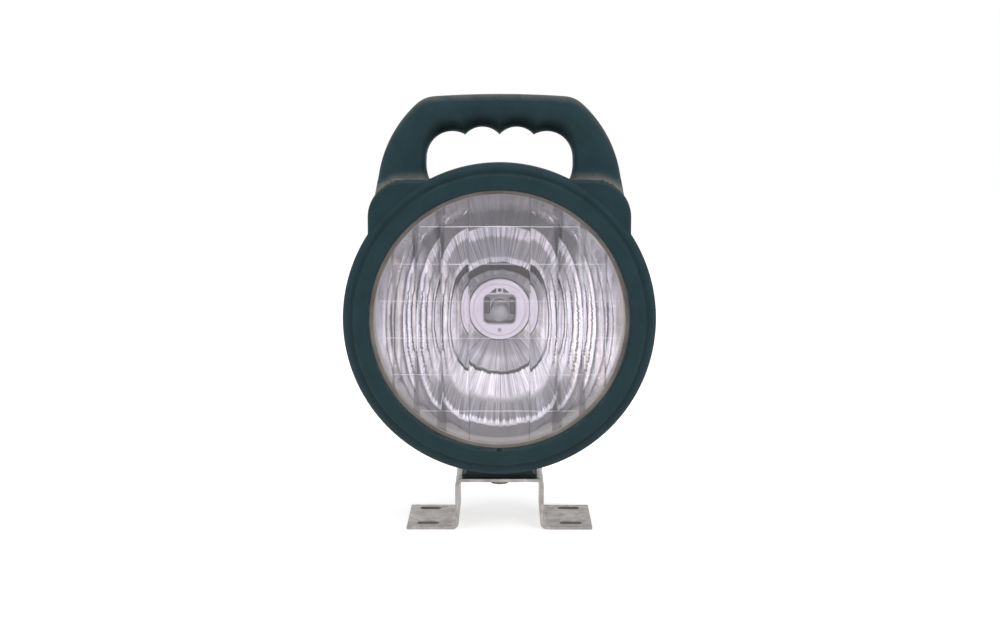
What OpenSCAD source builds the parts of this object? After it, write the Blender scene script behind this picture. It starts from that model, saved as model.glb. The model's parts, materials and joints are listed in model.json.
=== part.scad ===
// Round rubber-cased work lamp with a carrying handle, on a swivel bracket.
// X runs to the right as seen from the front, the lens faces -Y and Z is up.
// The origin is on the swivel axis, in the mounting plane under the bracket's feet.

/* [Bracket] */
// Thickness of the steel strip
steel_t = 2; // [1.6:0.1:2.6]
// Depth of the strip, front to back
strip_d = 50; // [46:1:60]
// Outer width of the raised channel
channel_w = 50; // [47:1:60]
// Height of the channel's top above the mounting plane
channel_h = 29.4; // [26:0.2:40]
// Length of each foot beyond the channel
foot_l = 27.5; // [24:0.5:36]
// Inside radius of the bends
bend_r = 2; // [1:0.5:3]
// Width of a mounting slot
slot_w = 6.5; // [5:0.1:8]
// Length of a mounting slot, end to end
slot_l = 12.5; // [10:0.5:15]
// Slot centre to the outer end of the foot
slot_inset = 12; // [10:0.5:13]
// Slot centre to the edge of the strip
slot_edge = 8; // [7:0.5:12]

/* [Swivel bolt] */
// Diameter of the bolt
bolt_d = 6; // [5:0.5:7]
// Clearance of the bolt in its holes, on the diameter
bolt_gap = 0.6; // [0.3:0.1:1]
// Rim of a flat washer beyond the bolt
washer_rim = 3; // [2.5:0.25:3.5]
// Thickness of a flat washer
washer_t = 1; // [0.8:0.1:1.8]
// Thickness of the spring washer
spring_t = 1.5; // [1:0.1:2]
// Rim of the spring washer beyond the bolt
spring_rim = 2; // [1.5:0.1:2.5]
// Width of the spring washer's split
spring_split = 1.2; // [0.8:0.1:2]
// Wall of the nut and of the bolt's head beyond the thread
nut_wall = 2; // [1.6:0.1:2.6]
// Height of the nut
nut_h = 5; // [4:0.5:6.5]
// Height of the bolt's head
bolt_head_h = 5; // [3.5:0.1:6]
// Length of bolt that stands out of the nut
bolt_tail = 0.8; // [0.4:0.1:3]
// Wall of the crush sleeve in the rubber foot
sleeve_wall = 2; // [1.5:0.1:2.8]

/* [Rubber foot] */
// Distance from the plate's front and back edges to the foot's pad
pad_margin = 3; // [2:0.5:5]
// Distance from the channel's sides to the foot's pad
pad_side = 3.7; // [2:0.1:5]
// Thickness of the pad's square edge
pad_t = 1.4; // [1:0.1:2.4]
// Distance from the pad's sides to the sides of the block on it
pad_step = 2.4; // [1:0.1:4]
// Height of the washer's seat above the plate
seat_h = 16.6; // [15.5:0.2:20]

/* [Lens unit] */
// Diameter of the glass
lens_d = 146; // [140:0.5:152]
// Distance of the glass's rim ahead of the swivel axis
lens_fwd = 34.8; // [32:0.2:38]
// Thickness of the glass at its rim
lens_rim_t = 3.5; // [3:0.1:5]
// Height of the glass's crown over its rim
lens_crown = 4; // [2.5:0.1:6]
// Plain rim of the glass outside the flutes
lens_plain = 5.5; // [4.5:0.1:8]
// Half width of the plain strip in the middle of the glass
flute_w = 16.7; // [15:0.1:18]
// Loss of width from one flute to the next
flute_step = 1.4; // [1:0.1:1.6]
// Flutes on each side of the middle
flute_n = 4; // [3:1:4]
// Radius of a flute's hollow
flute_r = 40; // [34:1:60]
// Flat ridge left between flutes
flute_ridge = 0.8; // [0.6:0.1:1.4]
// Thickness of the seal's legs
seal_t = 1.2; // [0.8:0.1:1.6]
// Cover of the seal's legs over the glass
seal_leg = 2.8; // [2.2:0.1:3.4]
// Thickness of the seal's web round the glass
seal_web = 2.1; // [1.6:0.1:2.6]
// Play between parts that sit in each other
fit_gap = 0.2; // [0.1:0.05:0.3]

/* [Reflector and bulb] */
// Thickness of the reflector's metal
refl_t = 1; // [0.8:0.1:1.4]
// Width of the reflector's flange
refl_flange = 3.5; // [3.2:0.1:4.2]
// Depth of the reflector's straight wall
refl_wall = 7.3; // [5:0.1:10]
// Depth of the reflector from its flange to its flat bottom
refl_depth = 54.7; // [52:0.1:58]
// Radius of the reflector's flat bottom
refl_floor_r = 19; // [18.6:0.1:20]
// Radius of the bulb holder's cup, in the hole of the flat bottom
cup_r = 17.5; // [17:0.1:18]
// Distance of the cup's face ahead of the reflector's bottom
cup_fwd = 12; // [10:0.5:13]
// Thickness of the holder's plate
holder_t = 1.2; // [1:0.1:1.6]
// Width of the holder's well
well_w = 17.6; // [16.5:0.1:18]
// Height of the holder's well
well_h = 16.2; // [15.5:0.1:17]
// Depth of the holder's well
well_d = 8; // [6:0.5:9]
// Corner radius of the well
well_r = 3; // [2:0.25:4]
// Diameter of the bulb's glass
bulb_d = 10; // [9:0.25:10.5]
// Wall of the bulb's glass
bulb_wall = 0.8; // [0.6:0.1:1]
// Length of the bulb's glass ahead of its flange
bulb_l = 29; // [26:0.5:31]
// Distance of the filament ahead of the bulb's flange
filament_fwd = 18; // [15:0.5:20]
// Length of the filament
filament_l = 4.6; // [4:0.1:5.2]
// Diameter of the filament's coil
filament_d = 1.2; // [0.9:0.1:1.5]
// Diameter of the wires that carry the filament
post_d = 0.8; // [0.6:0.1:0.9]
// Diameter of the bulb's flange
base_flange_d = 15.4; // [15:0.2:16.4]
// Thickness of the bulb's flange
base_flange_t = 1.5; // [1:0.1:2]
// Diameter of the bulb's base
base_d = 12.6; // [12:0.2:13]
// Length of the bulb's base behind its flange
base_l = 7; // [5:0.5:8]
// Diameter of the clip's wire
clip_wire = 1.2; // [1:0.1:1.4]
// Diameter of the clip's screw
clip_screw_d = 3; // [2.5:0.25:3.5]
// Rim of the clip screw's head beyond its thread
clip_head_rim = 1.2; // [0.8:0.1:1.5]
// Height of the clip screw's head
clip_head_h = 2; // [1.4:0.1:2.6]
// Wall of the clip's post round its screw
clip_post_wall = 1.5; // [1.2:0.1:1.8]
// Room between the bulb's flange and the clip's post
clip_post_gap = 1.2; // [0.8:0.1:1.6]
// Room between the bulb's flange and the clip's foot
clip_foot_gap = 2; // [1.2:0.1:2.6]
// Thickness of the earth tag
tag_t = 0.8; // [0.6:0.1:1]
// Length of the earth tag's blade behind its eye
tag_l = 6; // [4:0.5:7]
// Diameter of the bulb's lead
lead_d = 2.4; // [2:0.1:2.8]
// Depth of the lead's bow behind the bulb
lead_bow = 5.5; // [4:0.5:8]
// Distance of the lead from the switch's side
lead_side = 4; // [3:0.5:6]
// Length of the lead's terminal ahead of the blade
terminal_l = 4; // [3:0.5:5]
// Wall of the lead's terminal
terminal_wall = 0.6; // [0.5:0.1:0.9]

/* [Front bezel] */
// Width of the bezel outside the glass
bezel_w = 13.5; // [13:0.1:16]
// Cover of the bezel's lip over the glass
lip_cover = 0.7; // [0.4:0.1:1.2]
// Height of the lip ahead of the seal
lip_h = 7.2; // [6:0.1:9]
// Radius of the lip's bead
lip_r = 2.2; // [1.8:0.1:2.6]
// Radius of the bead on the outer edge
bead_r = 4.3; // [3.6:0.1:4.8]
// Drop from the lip to the outer bead
bead_drop = 4; // [3:0.1:5]
// Width of the flat band between the lip and its crease
band_w = 5.1; // [4:0.1:5.6]
// Fall of the flat band
band_fall = 1; // [0.6:0.1:1.6]
// Distance from the bezel's edge to the housing's spigot
spigot_step = 6.5; // [6:0.1:7]
// Length of the housing's spigot inside the bezel
spigot_l = 5.1; // [4.5:0.1:7]
// Distance of the ear screws outside the bezel's edge
screw_out = 0.5; // [0:0.1:2]
// Angle of the ear screws above the level line
screw_a = 47.1; // [45:0.1:48]
// Corner radius of the ears
ear_r = 20; // [16:0.5:22]
// Distance of the ears' faces behind the lip
ear_back = 6; // [5:0.1:8]
// Diameter of the ear screws
screw_d = 5; // [4:0.5:5.5]
// Distance of the ear screws from the ears' sides and tops
screw_edge = 12.6; // [12:0.1:13.4]
// Length of a threaded insert
insert_l = 9; // [7:0.5:11]
// Wall of a threaded insert
insert_wall = 1; // [0.8:0.1:1.5]
// Height of a screw's head
screw_head_h = 3.4; // [2.5:0.1:4]
// Rim of a screw's head beyond its thread
screw_rim = 2.4; // [2:0.1:2.6]

/* [Carrying handle] */
// Thickness of the handle's collar, clamped behind the bezel
root_t = 8; // [6:0.5:10]
// Depth of the handle, front to back
grip_d = 28; // [24:1:34]
// Height of the grip between its top and the ridges between the fingers
grip_t = 22.4; // [19:0.1:26]
// Room for the fingers between the bezel and the ridges
finger_gap = 14.1; // [12:0.1:22]
// Pitch of the finger hollows
finger_pitch = 19; // [18:0.1:20]
// Radius of the middle finger hollows
finger_r = 12.6; // [11.5:0.1:14]
// Radius of the outer finger hollows
corner_r = 14.4; // [12.5:0.1:15]
// Rise of the outer finger hollows above the ridges
corner_rise = 1.9; // [1.6:0.1:2.8]
// Radius of the grip's crown
crown_r = 530; // [400:10:700]
// Half angle of the grip's crown
crown_a = 3.88; // [3:0.02:4.6]
// Radius of the handle's shoulder
shoulder_r = 16; // [12:0.5:20]
// Angle at which the shoulder runs into the leg
shoulder_a = 42; // [38:1:46]
// Radius of the leg's outer side
leg_r = 66.5; // [62:0.5:74]
// Angle at which the leg's outer side becomes straight
leg_a = 80; // [78:0.5:82]
// Radius of the handle's outer edges
grip_round = 5; // [3:0.5:6]
// Radius of the edges round the finger hollows
hollow_round = 8; // [5:0.5:9]
// Height over which the legs deepen from the flange's depth to the grip's
leg_flare = 26; // [18:1:32]

/* [Rear housing] */
// Gap between the bracket's plate and the bezel
ring_gap = 5.1; // [4.6:0.1:9]
// Wall of the housing
wall = 4; // [3.5:0.1:5]
// Thickness of the housing's flange and lugs
flange_t = 5; // [4:0.5:7]
// Distance from the bezel's edge to the edges of the collar and the flange
collar_inset = 1; // [0.6:0.1:1.6]
// Room between the bulb holder and the lead's bend ahead of the switch
rear_room = 1; // [0.6:0.1:12]
// Radius of the bowl's flat back
back_r = 36; // [35:0.5:42]
// Radius of the recess in the back
recess_r = 30; // [29:0.5:31]
// Depth of the recess in the back
recess_d = 10; // [8:0.5:11]

/* [Switch and gland] */
// Distance of the switch above the lens axis
switch_up = 17; // [16.5:0.1:18]
// Diameter of the switch's bush
bush_d = 12; // [11:0.5:12.5]
// Length of the bush outside the panel
bush_l = 8; // [7:0.5:9]
// Wall of the bush
bush_wall = 2.4; // [2:0.1:2.6]
// Width of the switch's body
switch_w = 16; // [14:0.5:20]
// Height of the switch's body
switch_h = 17; // [15:0.5:18]
// Depth of the switch's body
switch_d = 16; // [14:0.5:17]
// Width of a switch blade
blade_w = 4; // [3:0.2:4.8]
// Thickness of a switch blade
blade_t = 0.8; // [0.6:0.1:1]
// Length of a switch blade
blade_l = 6; // [5:0.5:7]
// Width across the flats of the switch nut
switch_af = 17; // [16:0.5:18]
// Thickness of the switch nut
switch_nut_t = 3; // [2:0.1:3.4]
// Thickness of the switch's seal
switch_seal_t = 1.2; // [0.8:0.1:1.6]
// Length of the lever outside its ball
lever_l = 16; // [12:0.5:20]
// Diameter of the lever's tip
lever_tip_d = 5.2; // [4.4:0.1:5.6]
// Diameter of the lever at its ball
lever_neck_d = 3.2; // [2.6:0.1:3.4]
// Slant of the lever in its off position
lever_slant = 12; // [10:0.5:14]
// Clearance round the lever's ball
ball_gap = 0.3; // [0.25:0.05:0.4]
// Distance of the gland below the lens axis
gland_down = 17; // [16.5:0.1:18]
// Diameter of the gland's thread
gland_d = 15; // [14:0.5:15.5]
// Width across the flats of the gland and its cap
gland_af = 19; // [18:0.5:20]
// Diameter of the cable that the gland takes
cable_d = 7; // [6:0.1:7.4]
// Wall of the gland's rubber seal
gland_seal_wall = 1.6; // [1.2:0.1:1.8]
// Thickness of the gland's flange
gland_flange_t = 4; // [3:0.5:5]
// Length of the gland's thread outside its flange
gland_nose = 8; // [7:0.5:9]
// Thickness of the cap's end
cap_end = 3; // [2.5:0.1:4]
// Thickness of the gland's locknut
locknut_t = 4; // [3:0.5:4.5]
// Thread that stands out of the locknut inside
gland_tail = 2; // [1:0.5:3]

/* [Hidden] */
$fn = 64;
// Overshoot of a cut past the face that it opens
cut = 1;

// Radii about the lens axis
lens_r = lens_d / 2;
open_r = lens_r - lip_cover;
seal_in_r = lens_r - seal_leg;
seal_r = lens_r + fit_gap + seal_web;
bore_r = seal_r + fit_gap;
bezel_r = lens_r + bezel_w;
spigot_r = bezel_r - spigot_step;
collar_in_r = spigot_r + fit_gap;
collar_r = bezel_r - collar_inset;
refl_in_r = lens_r - refl_flange;
ledge_r = refl_in_r + refl_t + fit_gap;
holder_r = refl_floor_r + refl_t;
refl_hole_r = cup_r + fit_gap;

// Places along the lens axis
lens_y = -lens_fwd;
shoulder_y = lens_y - seal_t;
refl_y = lens_y + lens_rim_t;
seal_back_y = refl_y + refl_t;
spigot_y = seal_back_y + seal_t;
bezel_back_y = spigot_y + spigot_l;
root_back_y = bezel_back_y + root_t;
flange_back_y = root_back_y + flange_t;
lip_y = shoulder_y - lip_h;
ear_y = lip_y + ear_back;
floor_y = refl_y + refl_depth;
holder_y = floor_y + refl_t;
holder_back_y = holder_y + holder_t;
cup_y = floor_y - cup_fwd;
well_y = cup_y + well_d;
base_y = well_y + holder_t;
base_back_y = base_y + base_flange_t + base_l;
clip_y = base_y + base_flange_t;
filament_y = base_y - filament_fwd;
bulb_tip_y = base_y - bulb_l;
tag_y = clip_y + clip_wire;
clip_head_y = tag_y + tag_t;
lead_y = holder_back_y + rear_room + 2.4 * lead_d;
switch_y = lead_y + terminal_l + blade_l;
panel_in_y = switch_y + switch_d;
panel_y = panel_in_y + wall;
back_y = panel_y + recess_d;
bowl_d = back_y - flange_back_y;

// Heights
plate_top = channel_h;
plate_under = channel_h - steel_t;
lens_z = plate_top + ring_gap + bezel_r;
seat_z = plate_top + seat_h;
bolt_head_z = plate_under - washer_t - bolt_head_h;
spring_z = seat_z + washer_t;
nut_z = spring_z + spring_t;
bolt_end_z = nut_z + nut_h + bolt_tail;
cusp_z = bezel_r + finger_gap;
grip_top_z = cusp_z + grip_t;

// Widths that follow from the rest
slot_x = channel_w / 2 + foot_l - slot_inset;
slot_y = strip_d / 2 - slot_edge;
pad_w = channel_w - 2 * pad_side;
pad_d = strip_d - 2 * pad_margin;
block_w = pad_w - 2 * pad_step;
bolt_hole_d = bolt_d + bolt_gap;
nut_af = bolt_d + 2 * nut_wall;
washer_d = bolt_d + 2 * washer_rim;
sleeve_d = bolt_hole_d + 2 * sleeve_wall;
screw_x = (bezel_r + screw_out) * cos(screw_a);
screw_z = (bezel_r + screw_out) * sin(screw_a);
ear_x = screw_x + screw_edge;
ear_z = screw_z + screw_edge;
screw_hole_d = screw_d + bolt_gap;
insert_d = screw_d + 2 * insert_wall;
insert_y = bezel_back_y - insert_l;
ball_r = bush_d / 2 - bush_wall - ball_gap;
ball_y = panel_y + bush_l - ball_r;
gland_bore = cable_d + 2 * gland_seal_wall + fit_gap;
cap_bore = gland_d + fit_gap;
cap_y = panel_y + gland_flange_t + fit_gap;
cap_end_y = panel_y + gland_flange_t + gland_nose + cap_end;

blade_x = switch_w / 2 - blade_w;

// Clip and its post
post_r = clip_screw_d / 2 + clip_post_wall;
clip_x = base_d / 2 + clip_wire / 2 + fit_gap;
clip_post_z = base_flange_d / 2 + post_r + clip_post_gap;
clip_foot_z = base_flange_d / 2 + clip_foot_gap;

function arc(c, r, a0, a1, n, first = 0) = [
    for (i = [first:n]) c + r * [cos(a0 + (a1 - a0) * i / n), sin(a0 + (a1 - a0) * i / n)]
];
function mirrored(p) = [for (i = [len(p) - 1:-1:0]) [-p[i][0], p[i][1]]];
function hex_r(flats) = flats / sqrt(3);

// Turns a profile of radius and place along the lens axis
module round_y()
    translate([0, 0, lens_z]) rotate([-90, 0, 0]) rotate_extrude($fn = 96) children();

module ring_y(r0, r1, y0, y1)
    round_y() translate([r0, y0]) square([r1 - r0, y1 - y0]);

// Draws an outline of x and height above the lens axis, from y0 back to y1
module plate_y(y0, y1)
    translate([0, y1, lens_z]) rotate([90, 0, 0]) linear_extrude(y1 - y0) children();

module rod_y(x, z, y0, y1, d, sides = 48)
    translate([x, y0, lens_z + z]) rotate([-90, 0, 0]) cylinder(d = d, h = y1 - y0, $fn = sides);

module hex_y(x, z, y0, y1, flats)
    translate([x, y0, lens_z + z]) rotate([-90, 0, 0]) cylinder(r = hex_r(flats), h = y1 - y0, $fn = 6);

module rod_z(z0, z1, d)
    translate([0, 0, z0]) cylinder(d = d, h = z1 - z0, $fn = 48);

module washer_z(z0, t, d, bore)
    difference() {
        rod_z(z0, z0 + t, d);
        rod_z(z0 - cut, z0 + t + cut, bore);
    }

// Corner plate of an ear, outside radius r about the lens axis, on both sides
module ears(r, y0, y1) {
    inner = bezel_r / 2;
    corner = arc([ear_x - ear_r, ear_z - ear_r], ear_r, 0, 90, 9);
    outline = concat([[inner, inner / 2], [ear_x, inner / 2]], corner, [[inner / 2, ear_z]]);
    difference() {
        for (side = [0, 1]) mirror([side, 0, 0]) plate_y(y0, y1) polygon(outline);
        rod_y(0, 0, y0 - cut, y1 + cut, 2 * r, 96);
    }
}

module ear_holes(d, y0, y1)
    for (side = [-1, 1]) rod_y(side * screw_x, screw_z, y0, y1, d);

module bracket() {
    ro = bend_r + steel_t;
    top_c = [channel_w / 2 - ro, channel_h - ro];
    low_c = [channel_w / 2 + bend_r, steel_t + bend_r];
    foot_x = channel_w / 2 + foot_l;
    outer = concat(
        arc(top_c, ro, 90, 0, 6),
        arc(low_c, bend_r, 180, 270, 6),
        [[foot_x, steel_t], [foot_x, 0]]
    );
    inner = concat(arc(low_c, ro, 270, 180, 6), arc(top_c, bend_r, 0, 90, 6));
    color("darkgray") difference() {
        translate([0, strip_d / 2, 0]) rotate([90, 0, 0]) linear_extrude(strip_d)
            polygon(concat(mirrored(outer), outer, inner, mirrored(inner)));
        rod_z(plate_under - cut, plate_top + cut, bolt_hole_d);
        for (sx = [-1, 1], sy = [-1, 1]) translate([sx * slot_x, sy * slot_y, -cut]) {
            run = slot_l - slot_w;
            for (end = [-1, 1]) translate([end * run / 2, 0, 0])
                cylinder(d = slot_w, h = steel_t + 2 * cut, $fn = 48);
            translate([-run / 2, -slot_w / 2, 0]) cube([run, slot_w, steel_t + 2 * cut]);
        }
    }
}

// Radius of the bowl at place y
function bowl_r_at(y) = back_r + (spigot_r + 1 - back_r) * sqrt(1 - pow((y - flange_back_y) / bowl_d, 2));

module rear_housing() {
    steps = 10;
    lip_out = [for (i = [0:steps]) let (y = flange_back_y + bowl_d * sin(90 * i / steps)) [bowl_r_at(y), y]];
    cavity_d = panel_in_y - flange_back_y;
    inside = [
        for (i = [0:steps]) let (y = flange_back_y + cavity_d * i / steps) [bowl_r_at(y) - wall, y]
    ];
    front_in_r = spigot_r - wall;
    ledge_back_y = spigot_y + 2 * seal_t;
    color("#2f4145") difference() {
        union() {
            round_y() polygon(concat(
                [[0, spigot_y], [spigot_r, spigot_y], [spigot_r, root_back_y], [collar_r, root_back_y]],
                [[collar_r, flange_back_y]], lip_out, [[0, back_y]]
            ));
            ears(spigot_r, root_back_y, flange_back_y);
            foot_block();
        }
        round_y() polygon(concat(
            [[0, spigot_y - cut], [ledge_r, spigot_y - cut]],
            [[ledge_r, ledge_back_y], [front_in_r, ledge_back_y]],
            inside, [[0, panel_in_y]]
        ));
        rod_y(0, 0, panel_y, back_y + cut, 2 * recess_r, 96);
        ear_holes(screw_hole_d, root_back_y - cut, flange_back_y + cut);
        rod_y(0, switch_up, panel_in_y - cut, panel_y + cut, bush_d + fit_gap);
        rod_y(0, -gland_down, panel_in_y - cut, panel_y + cut, gland_d + fit_gap);
        rod_z(plate_top - cut, seat_z + cut, sleeve_d);
        rod_z(seat_z, lens_z - front_in_r + washer_d, washer_d + 4 * bolt_gap);
    }
}

// Pad and block that stand on the bracket's plate, with a toe under the handle's collar
module foot_block() {
    toe_top = lens_z - collar_r - 2 * fit_gap;
    toe_h = toe_top - plate_top;
    block_y = root_back_y;
    block_h = lens_z - spigot_r + wall + seat_h / 2 - plate_top;
    translate([-pad_w / 2, -pad_d / 2, plate_top]) cube([pad_w, pad_d, pad_t]);
    translate([-block_w / 2, -pad_d / 2, plate_top]) cube([block_w, pad_d, toe_h]);
    translate([-block_w / 2, block_y, plate_top]) cube([block_w, pad_d / 2 - block_y, block_h]);
}

module front_bezel() {
    bead_c = [bezel_r - bead_r, lip_y + bead_drop + bead_r];
    lip_c = [open_r + lip_r, lip_y + lip_r];
    crease = lip_c + [band_w, band_fall - lip_r];
    skirt_r = bezel_r - collar_inset / 2;
    profile = concat(
        [[open_r, shoulder_y]],
        arc(lip_c, lip_r, 180, 270, 6),
        [crease],
        arc(bead_c, bead_r, 235, 360, 9),
        [[skirt_r, bezel_back_y], [collar_in_r, bezel_back_y], [collar_in_r, spigot_y - fit_gap]],
        [[bore_r, spigot_y - fit_gap], [bore_r, shoulder_y]]
    );
    color("#293c43") difference() {
        union() {
            round_y() polygon(profile);
            ears(spigot_r, ear_y, bezel_back_y);
        }
        rod_y(0, 0, spigot_y - fit_gap, bezel_back_y + cut, 2 * collar_in_r, 96);
        ear_holes(insert_d, insert_y, bezel_back_y + cut);
    }
}

// Centres of the finger hollows and the inner side of the leg
function corner_c() =
    let (drop = corner_r - corner_rise)
    [finger_pitch + sqrt(corner_r * corner_r - drop * drop), cusp_z - drop];
function finger_c() = [finger_pitch / 2, cusp_z - sqrt(pow(finger_r, 2) - pow(finger_pitch / 2, 2))];
function leg_in_x() = corner_c()[0] + corner_r;

// Meeting point of two circles, on the upper side
function meet(c0, r0, c1, r1) =
    let (d = norm(c1 - c0), u = (c1 - c0) / d, a = (d * d + r0 * r0 - r1 * r1) / (2 * d))
    c0 + a * u + sqrt(r0 * r0 - a * a) * [-u[1], u[0]];
function angle_of(v) = atan2(v[1], v[0]);

// Right half of the handle's outer line, drawn in by d
function handle_outer(d) =
    let (
        crown_c = [0, grip_top_z - crown_r],
        crown_end = crown_c + crown_r * [sin(crown_a), cos(crown_a)],
        should_c = crown_end - shoulder_r * [sin(crown_a), cos(crown_a)],
        should_end = should_c + shoulder_r * [sin(shoulder_a), cos(shoulder_a)],
        leg_c = should_end - leg_r * [sin(shoulder_a), cos(shoulder_a)],
        leg_end = leg_c + (leg_r - d) * [sin(leg_a), cos(leg_a)]
    )
    concat(
        arc(crown_c, crown_r - d, 90, 90 - crown_a, 3),
        arc(should_c, shoulder_r - d, 90 - crown_a, 90 - shoulder_a, 5, 1),
        arc(leg_c, leg_r - d, 90 - shoulder_a, 90 - leg_a, 6, 1),
        [[leg_end[0] + (leg_end[1] - ear_z) / tan(leg_a), ear_z]]
    );

// Right half of the finger loop's line, from the leg's foot to the middle, drawn in by d
function handle_inner(d) =
    let (
        cc = corner_c(),
        fc = finger_c(),
        cusp = meet(fc, finger_r + d, cc, corner_r + d),
        mid_a = acos(-fc[0] / (finger_r + d))
    )
    concat(
        [[leg_in_x() + d, ear_z]],
        arc(cc, corner_r + d, 0, angle_of(cusp - cc), 8),
        arc(fc, finger_r + d, angle_of(cusp - fc), mid_a, 7, 1)
    );

// Share of the grip's depth that a leg has at height z
function leg_depth(z) =
    let (low = (root_t + flange_t) / grip_d, t = min(1, max(0, (z - ear_z) / leg_flare)))
    low + (1 - low) * t * t * (3 - 2 * t);

module handle_arch() {
    steps = 4;
    turns = concat([for (i = [0:steps]) 90 * i / steps], [for (i = [steps:-1:0]) 180 - 90 * i / steps]);
    rings = [
        for (k = [0:len(turns) - 1])
            let (
                a = turns[k],
                back = k > steps,
                y_out = back ? grip_d - grip_round * (1 + cos(a)) : grip_round * (1 - cos(a)),
                y_in = back ? grip_d - hollow_round * (1 + cos(a)) : hollow_round * (1 - cos(a)),
                outer = [for (p = handle_outer(grip_round * (1 - sin(a)))) [p[0], y_out, p[1]]],
                inner = [for (p = handle_inner(hollow_round * (1 - sin(a)))) [p[0], y_in, p[1]]],
                half = concat(outer, inner),
                left = [for (i = [len(half) - 2:-1:1]) [-half[i][0], half[i][1], half[i][2]]]
            )
            [for (p = concat(half, left)) [p[0], bezel_back_y + p[1] * leg_depth(p[2]), lens_z + p[2]]]
    ];
    n = len(rings[0]);
    m = len(rings);
    sides = [
        for (k = [0:m - 2], i = [0:n - 1], half = [0, 1])
            let (j = (i + 1) % n, a = k * n + i, b = k * n + j, c = a + n, e = b + n)
            half == 0 ? [a, e, b] : [a, c, e]
    ];
    mid = n / 2;
    last = mid / 2 - 1;
    strip = concat(
        [
            for (i = [0:last - 1], half = [0, 1])
                half == 0 ? [i, i + 1, mid - 1 - i] : [i, mid - 1 - i, mid - i]
        ],
        [[last, last + 1, last + 2]]
    );
    face = concat(strip, [for (t = strip) [(n - t[0]) % n, (n - t[2]) % n, (n - t[1]) % n]]);
    back_cap = [for (t = face) [for (i = [2, 1, 0]) (m - 1) * n + t[i]]];
    polyhedron(points = [for (r = rings, p = r) p], faces = concat(sides, face, back_cap));
}

module carry_handle() {
    outer = handle_outer(0);
    leg_out = outer[len(outer) - 1][0];
    tenon_x = leg_in_x() + hollow_round;
    skirt_h = 0.6 * ear_r;
    skirt = [
        [tenon_x, ear_z - skirt_h], [leg_out + skirt_h / tan(leg_a), ear_z - skirt_h],
        [leg_out, ear_z], [leg_out - 2 * grip_round, ear_z + 2 * grip_round],
        [tenon_x, ear_z + 2 * grip_round]
    ];
    color("#304145") difference() {
        union() {
            handle_arch();
            ring_y(collar_in_r, collar_r, bezel_back_y, root_back_y);
            ears(collar_in_r, bezel_back_y, root_back_y);
            for (side = [0, 1]) mirror([side, 0, 0])
                plate_y(bezel_back_y, root_back_y) polygon(skirt);
        }
        ear_holes(screw_hole_d, bezel_back_y - cut, root_back_y + cut);
        rod_y(0, 0, bezel_back_y - cut, root_back_y + cut, 2 * collar_in_r, 96);
    }
}

module bezel_screws()
    color("silver") for (side = [-1, 1]) {
        rod_y(side * screw_x, screw_z, insert_y + 1, flange_back_y + cut, screw_d);
        difference() {
            rod_y(
                side * screw_x, screw_z, flange_back_y, flange_back_y + screw_head_h,
                screw_d + 2 * screw_rim
            );
            translate([side * screw_x - screw_d, flange_back_y + screw_head_h / 2, lens_z + screw_z - 0.6])
                cube([2 * screw_d, screw_head_h, 1.2]);
        }
    }

module bezel_inserts()
    color("goldenrod") difference() {
        ear_holes(insert_d, insert_y, bezel_back_y);
        ear_holes(screw_d + fit_gap, insert_y - cut, bezel_back_y + cut);
    }

// Edge of flute i, counted from the middle
function flute_edge(i) = i * flute_w - flute_step * i * (i - 1) / 2;

module lens() {
    crown_in = lens_r - seal_leg;
    ball = (crown_in * crown_in + lens_crown * lens_crown) / (2 * lens_crown);
    dome = arc([0, lens_y - lens_crown + ball], ball, -90, asin(crown_in / ball) - 90, 8);
    color("lavender", 0.6) difference() {
        round_y() polygon(concat(dome, [[lens_r, lens_y], [lens_r, refl_y], [0, refl_y]]));
        intersection() {
            rod_y(0, 0, refl_y - cut, refl_y + cut, 2 * (lens_r - lens_plain), 96);
            for (side = [-1, 1], i = [1:flute_n]) {
                a = flute_edge(i) + flute_ridge / 2;
                b = flute_edge(i + 1) - flute_ridge / 2;
                back = sqrt(flute_r * flute_r - pow((b - a) / 2, 2));
                translate([side * (a + b) / 2, refl_y + back, lens_z - lens_r])
                    cylinder(r = flute_r, h = lens_d, $fn = 96);
            }
        }
    }
}

module lens_seal()
    color("dimgray") round_y() polygon([
        [seal_in_r, shoulder_y], [seal_r, shoulder_y], [seal_r, spigot_y], [seal_in_r + 1, spigot_y],
        [seal_in_r + 1, seal_back_y], [lens_r + fit_gap, seal_back_y], [lens_r + fit_gap, lens_y],
        [seal_in_r, lens_y]
    ]);

module reflector() {
    steps = 12;
    wall_y = refl_y + refl_wall;
    focal = (pow(refl_in_r, 2) - pow(refl_floor_r, 2)) / (4 * (floor_y - wall_y));
    dish = [
        for (i = [0:steps]) let (r = refl_in_r + (refl_floor_r - refl_in_r) * i / steps)
            [r, floor_y - (r * r - pow(refl_floor_r, 2)) / (4 * focal)]
    ];
    shell = [for (i = [steps:-1:0]) dish[i] + [refl_t, refl_t]];
    color("whitesmoke") round_y() polygon(concat(
        [[lens_r, refl_y], [refl_in_r, refl_y]], dish,
        [[refl_hole_r, floor_y], [refl_hole_r, holder_y]], shell,
        [[refl_in_r + refl_t, seal_back_y], [lens_r, seal_back_y]]
    ));
}

// Rounded rectangle of the bulb's well
module well_shape(grow) {
    w = well_w / 2 - well_r;
    h = well_h / 2 - well_r;
    r = well_r + grow;
    polygon(concat(
        arc([w, h], r, 0, 90, 5), arc([-w, h], r, 90, 180, 5),
        arc([-w, -h], r, 180, 270, 5), arc([w, -h], r, 270, 360, 5)
    ));
}

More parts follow.
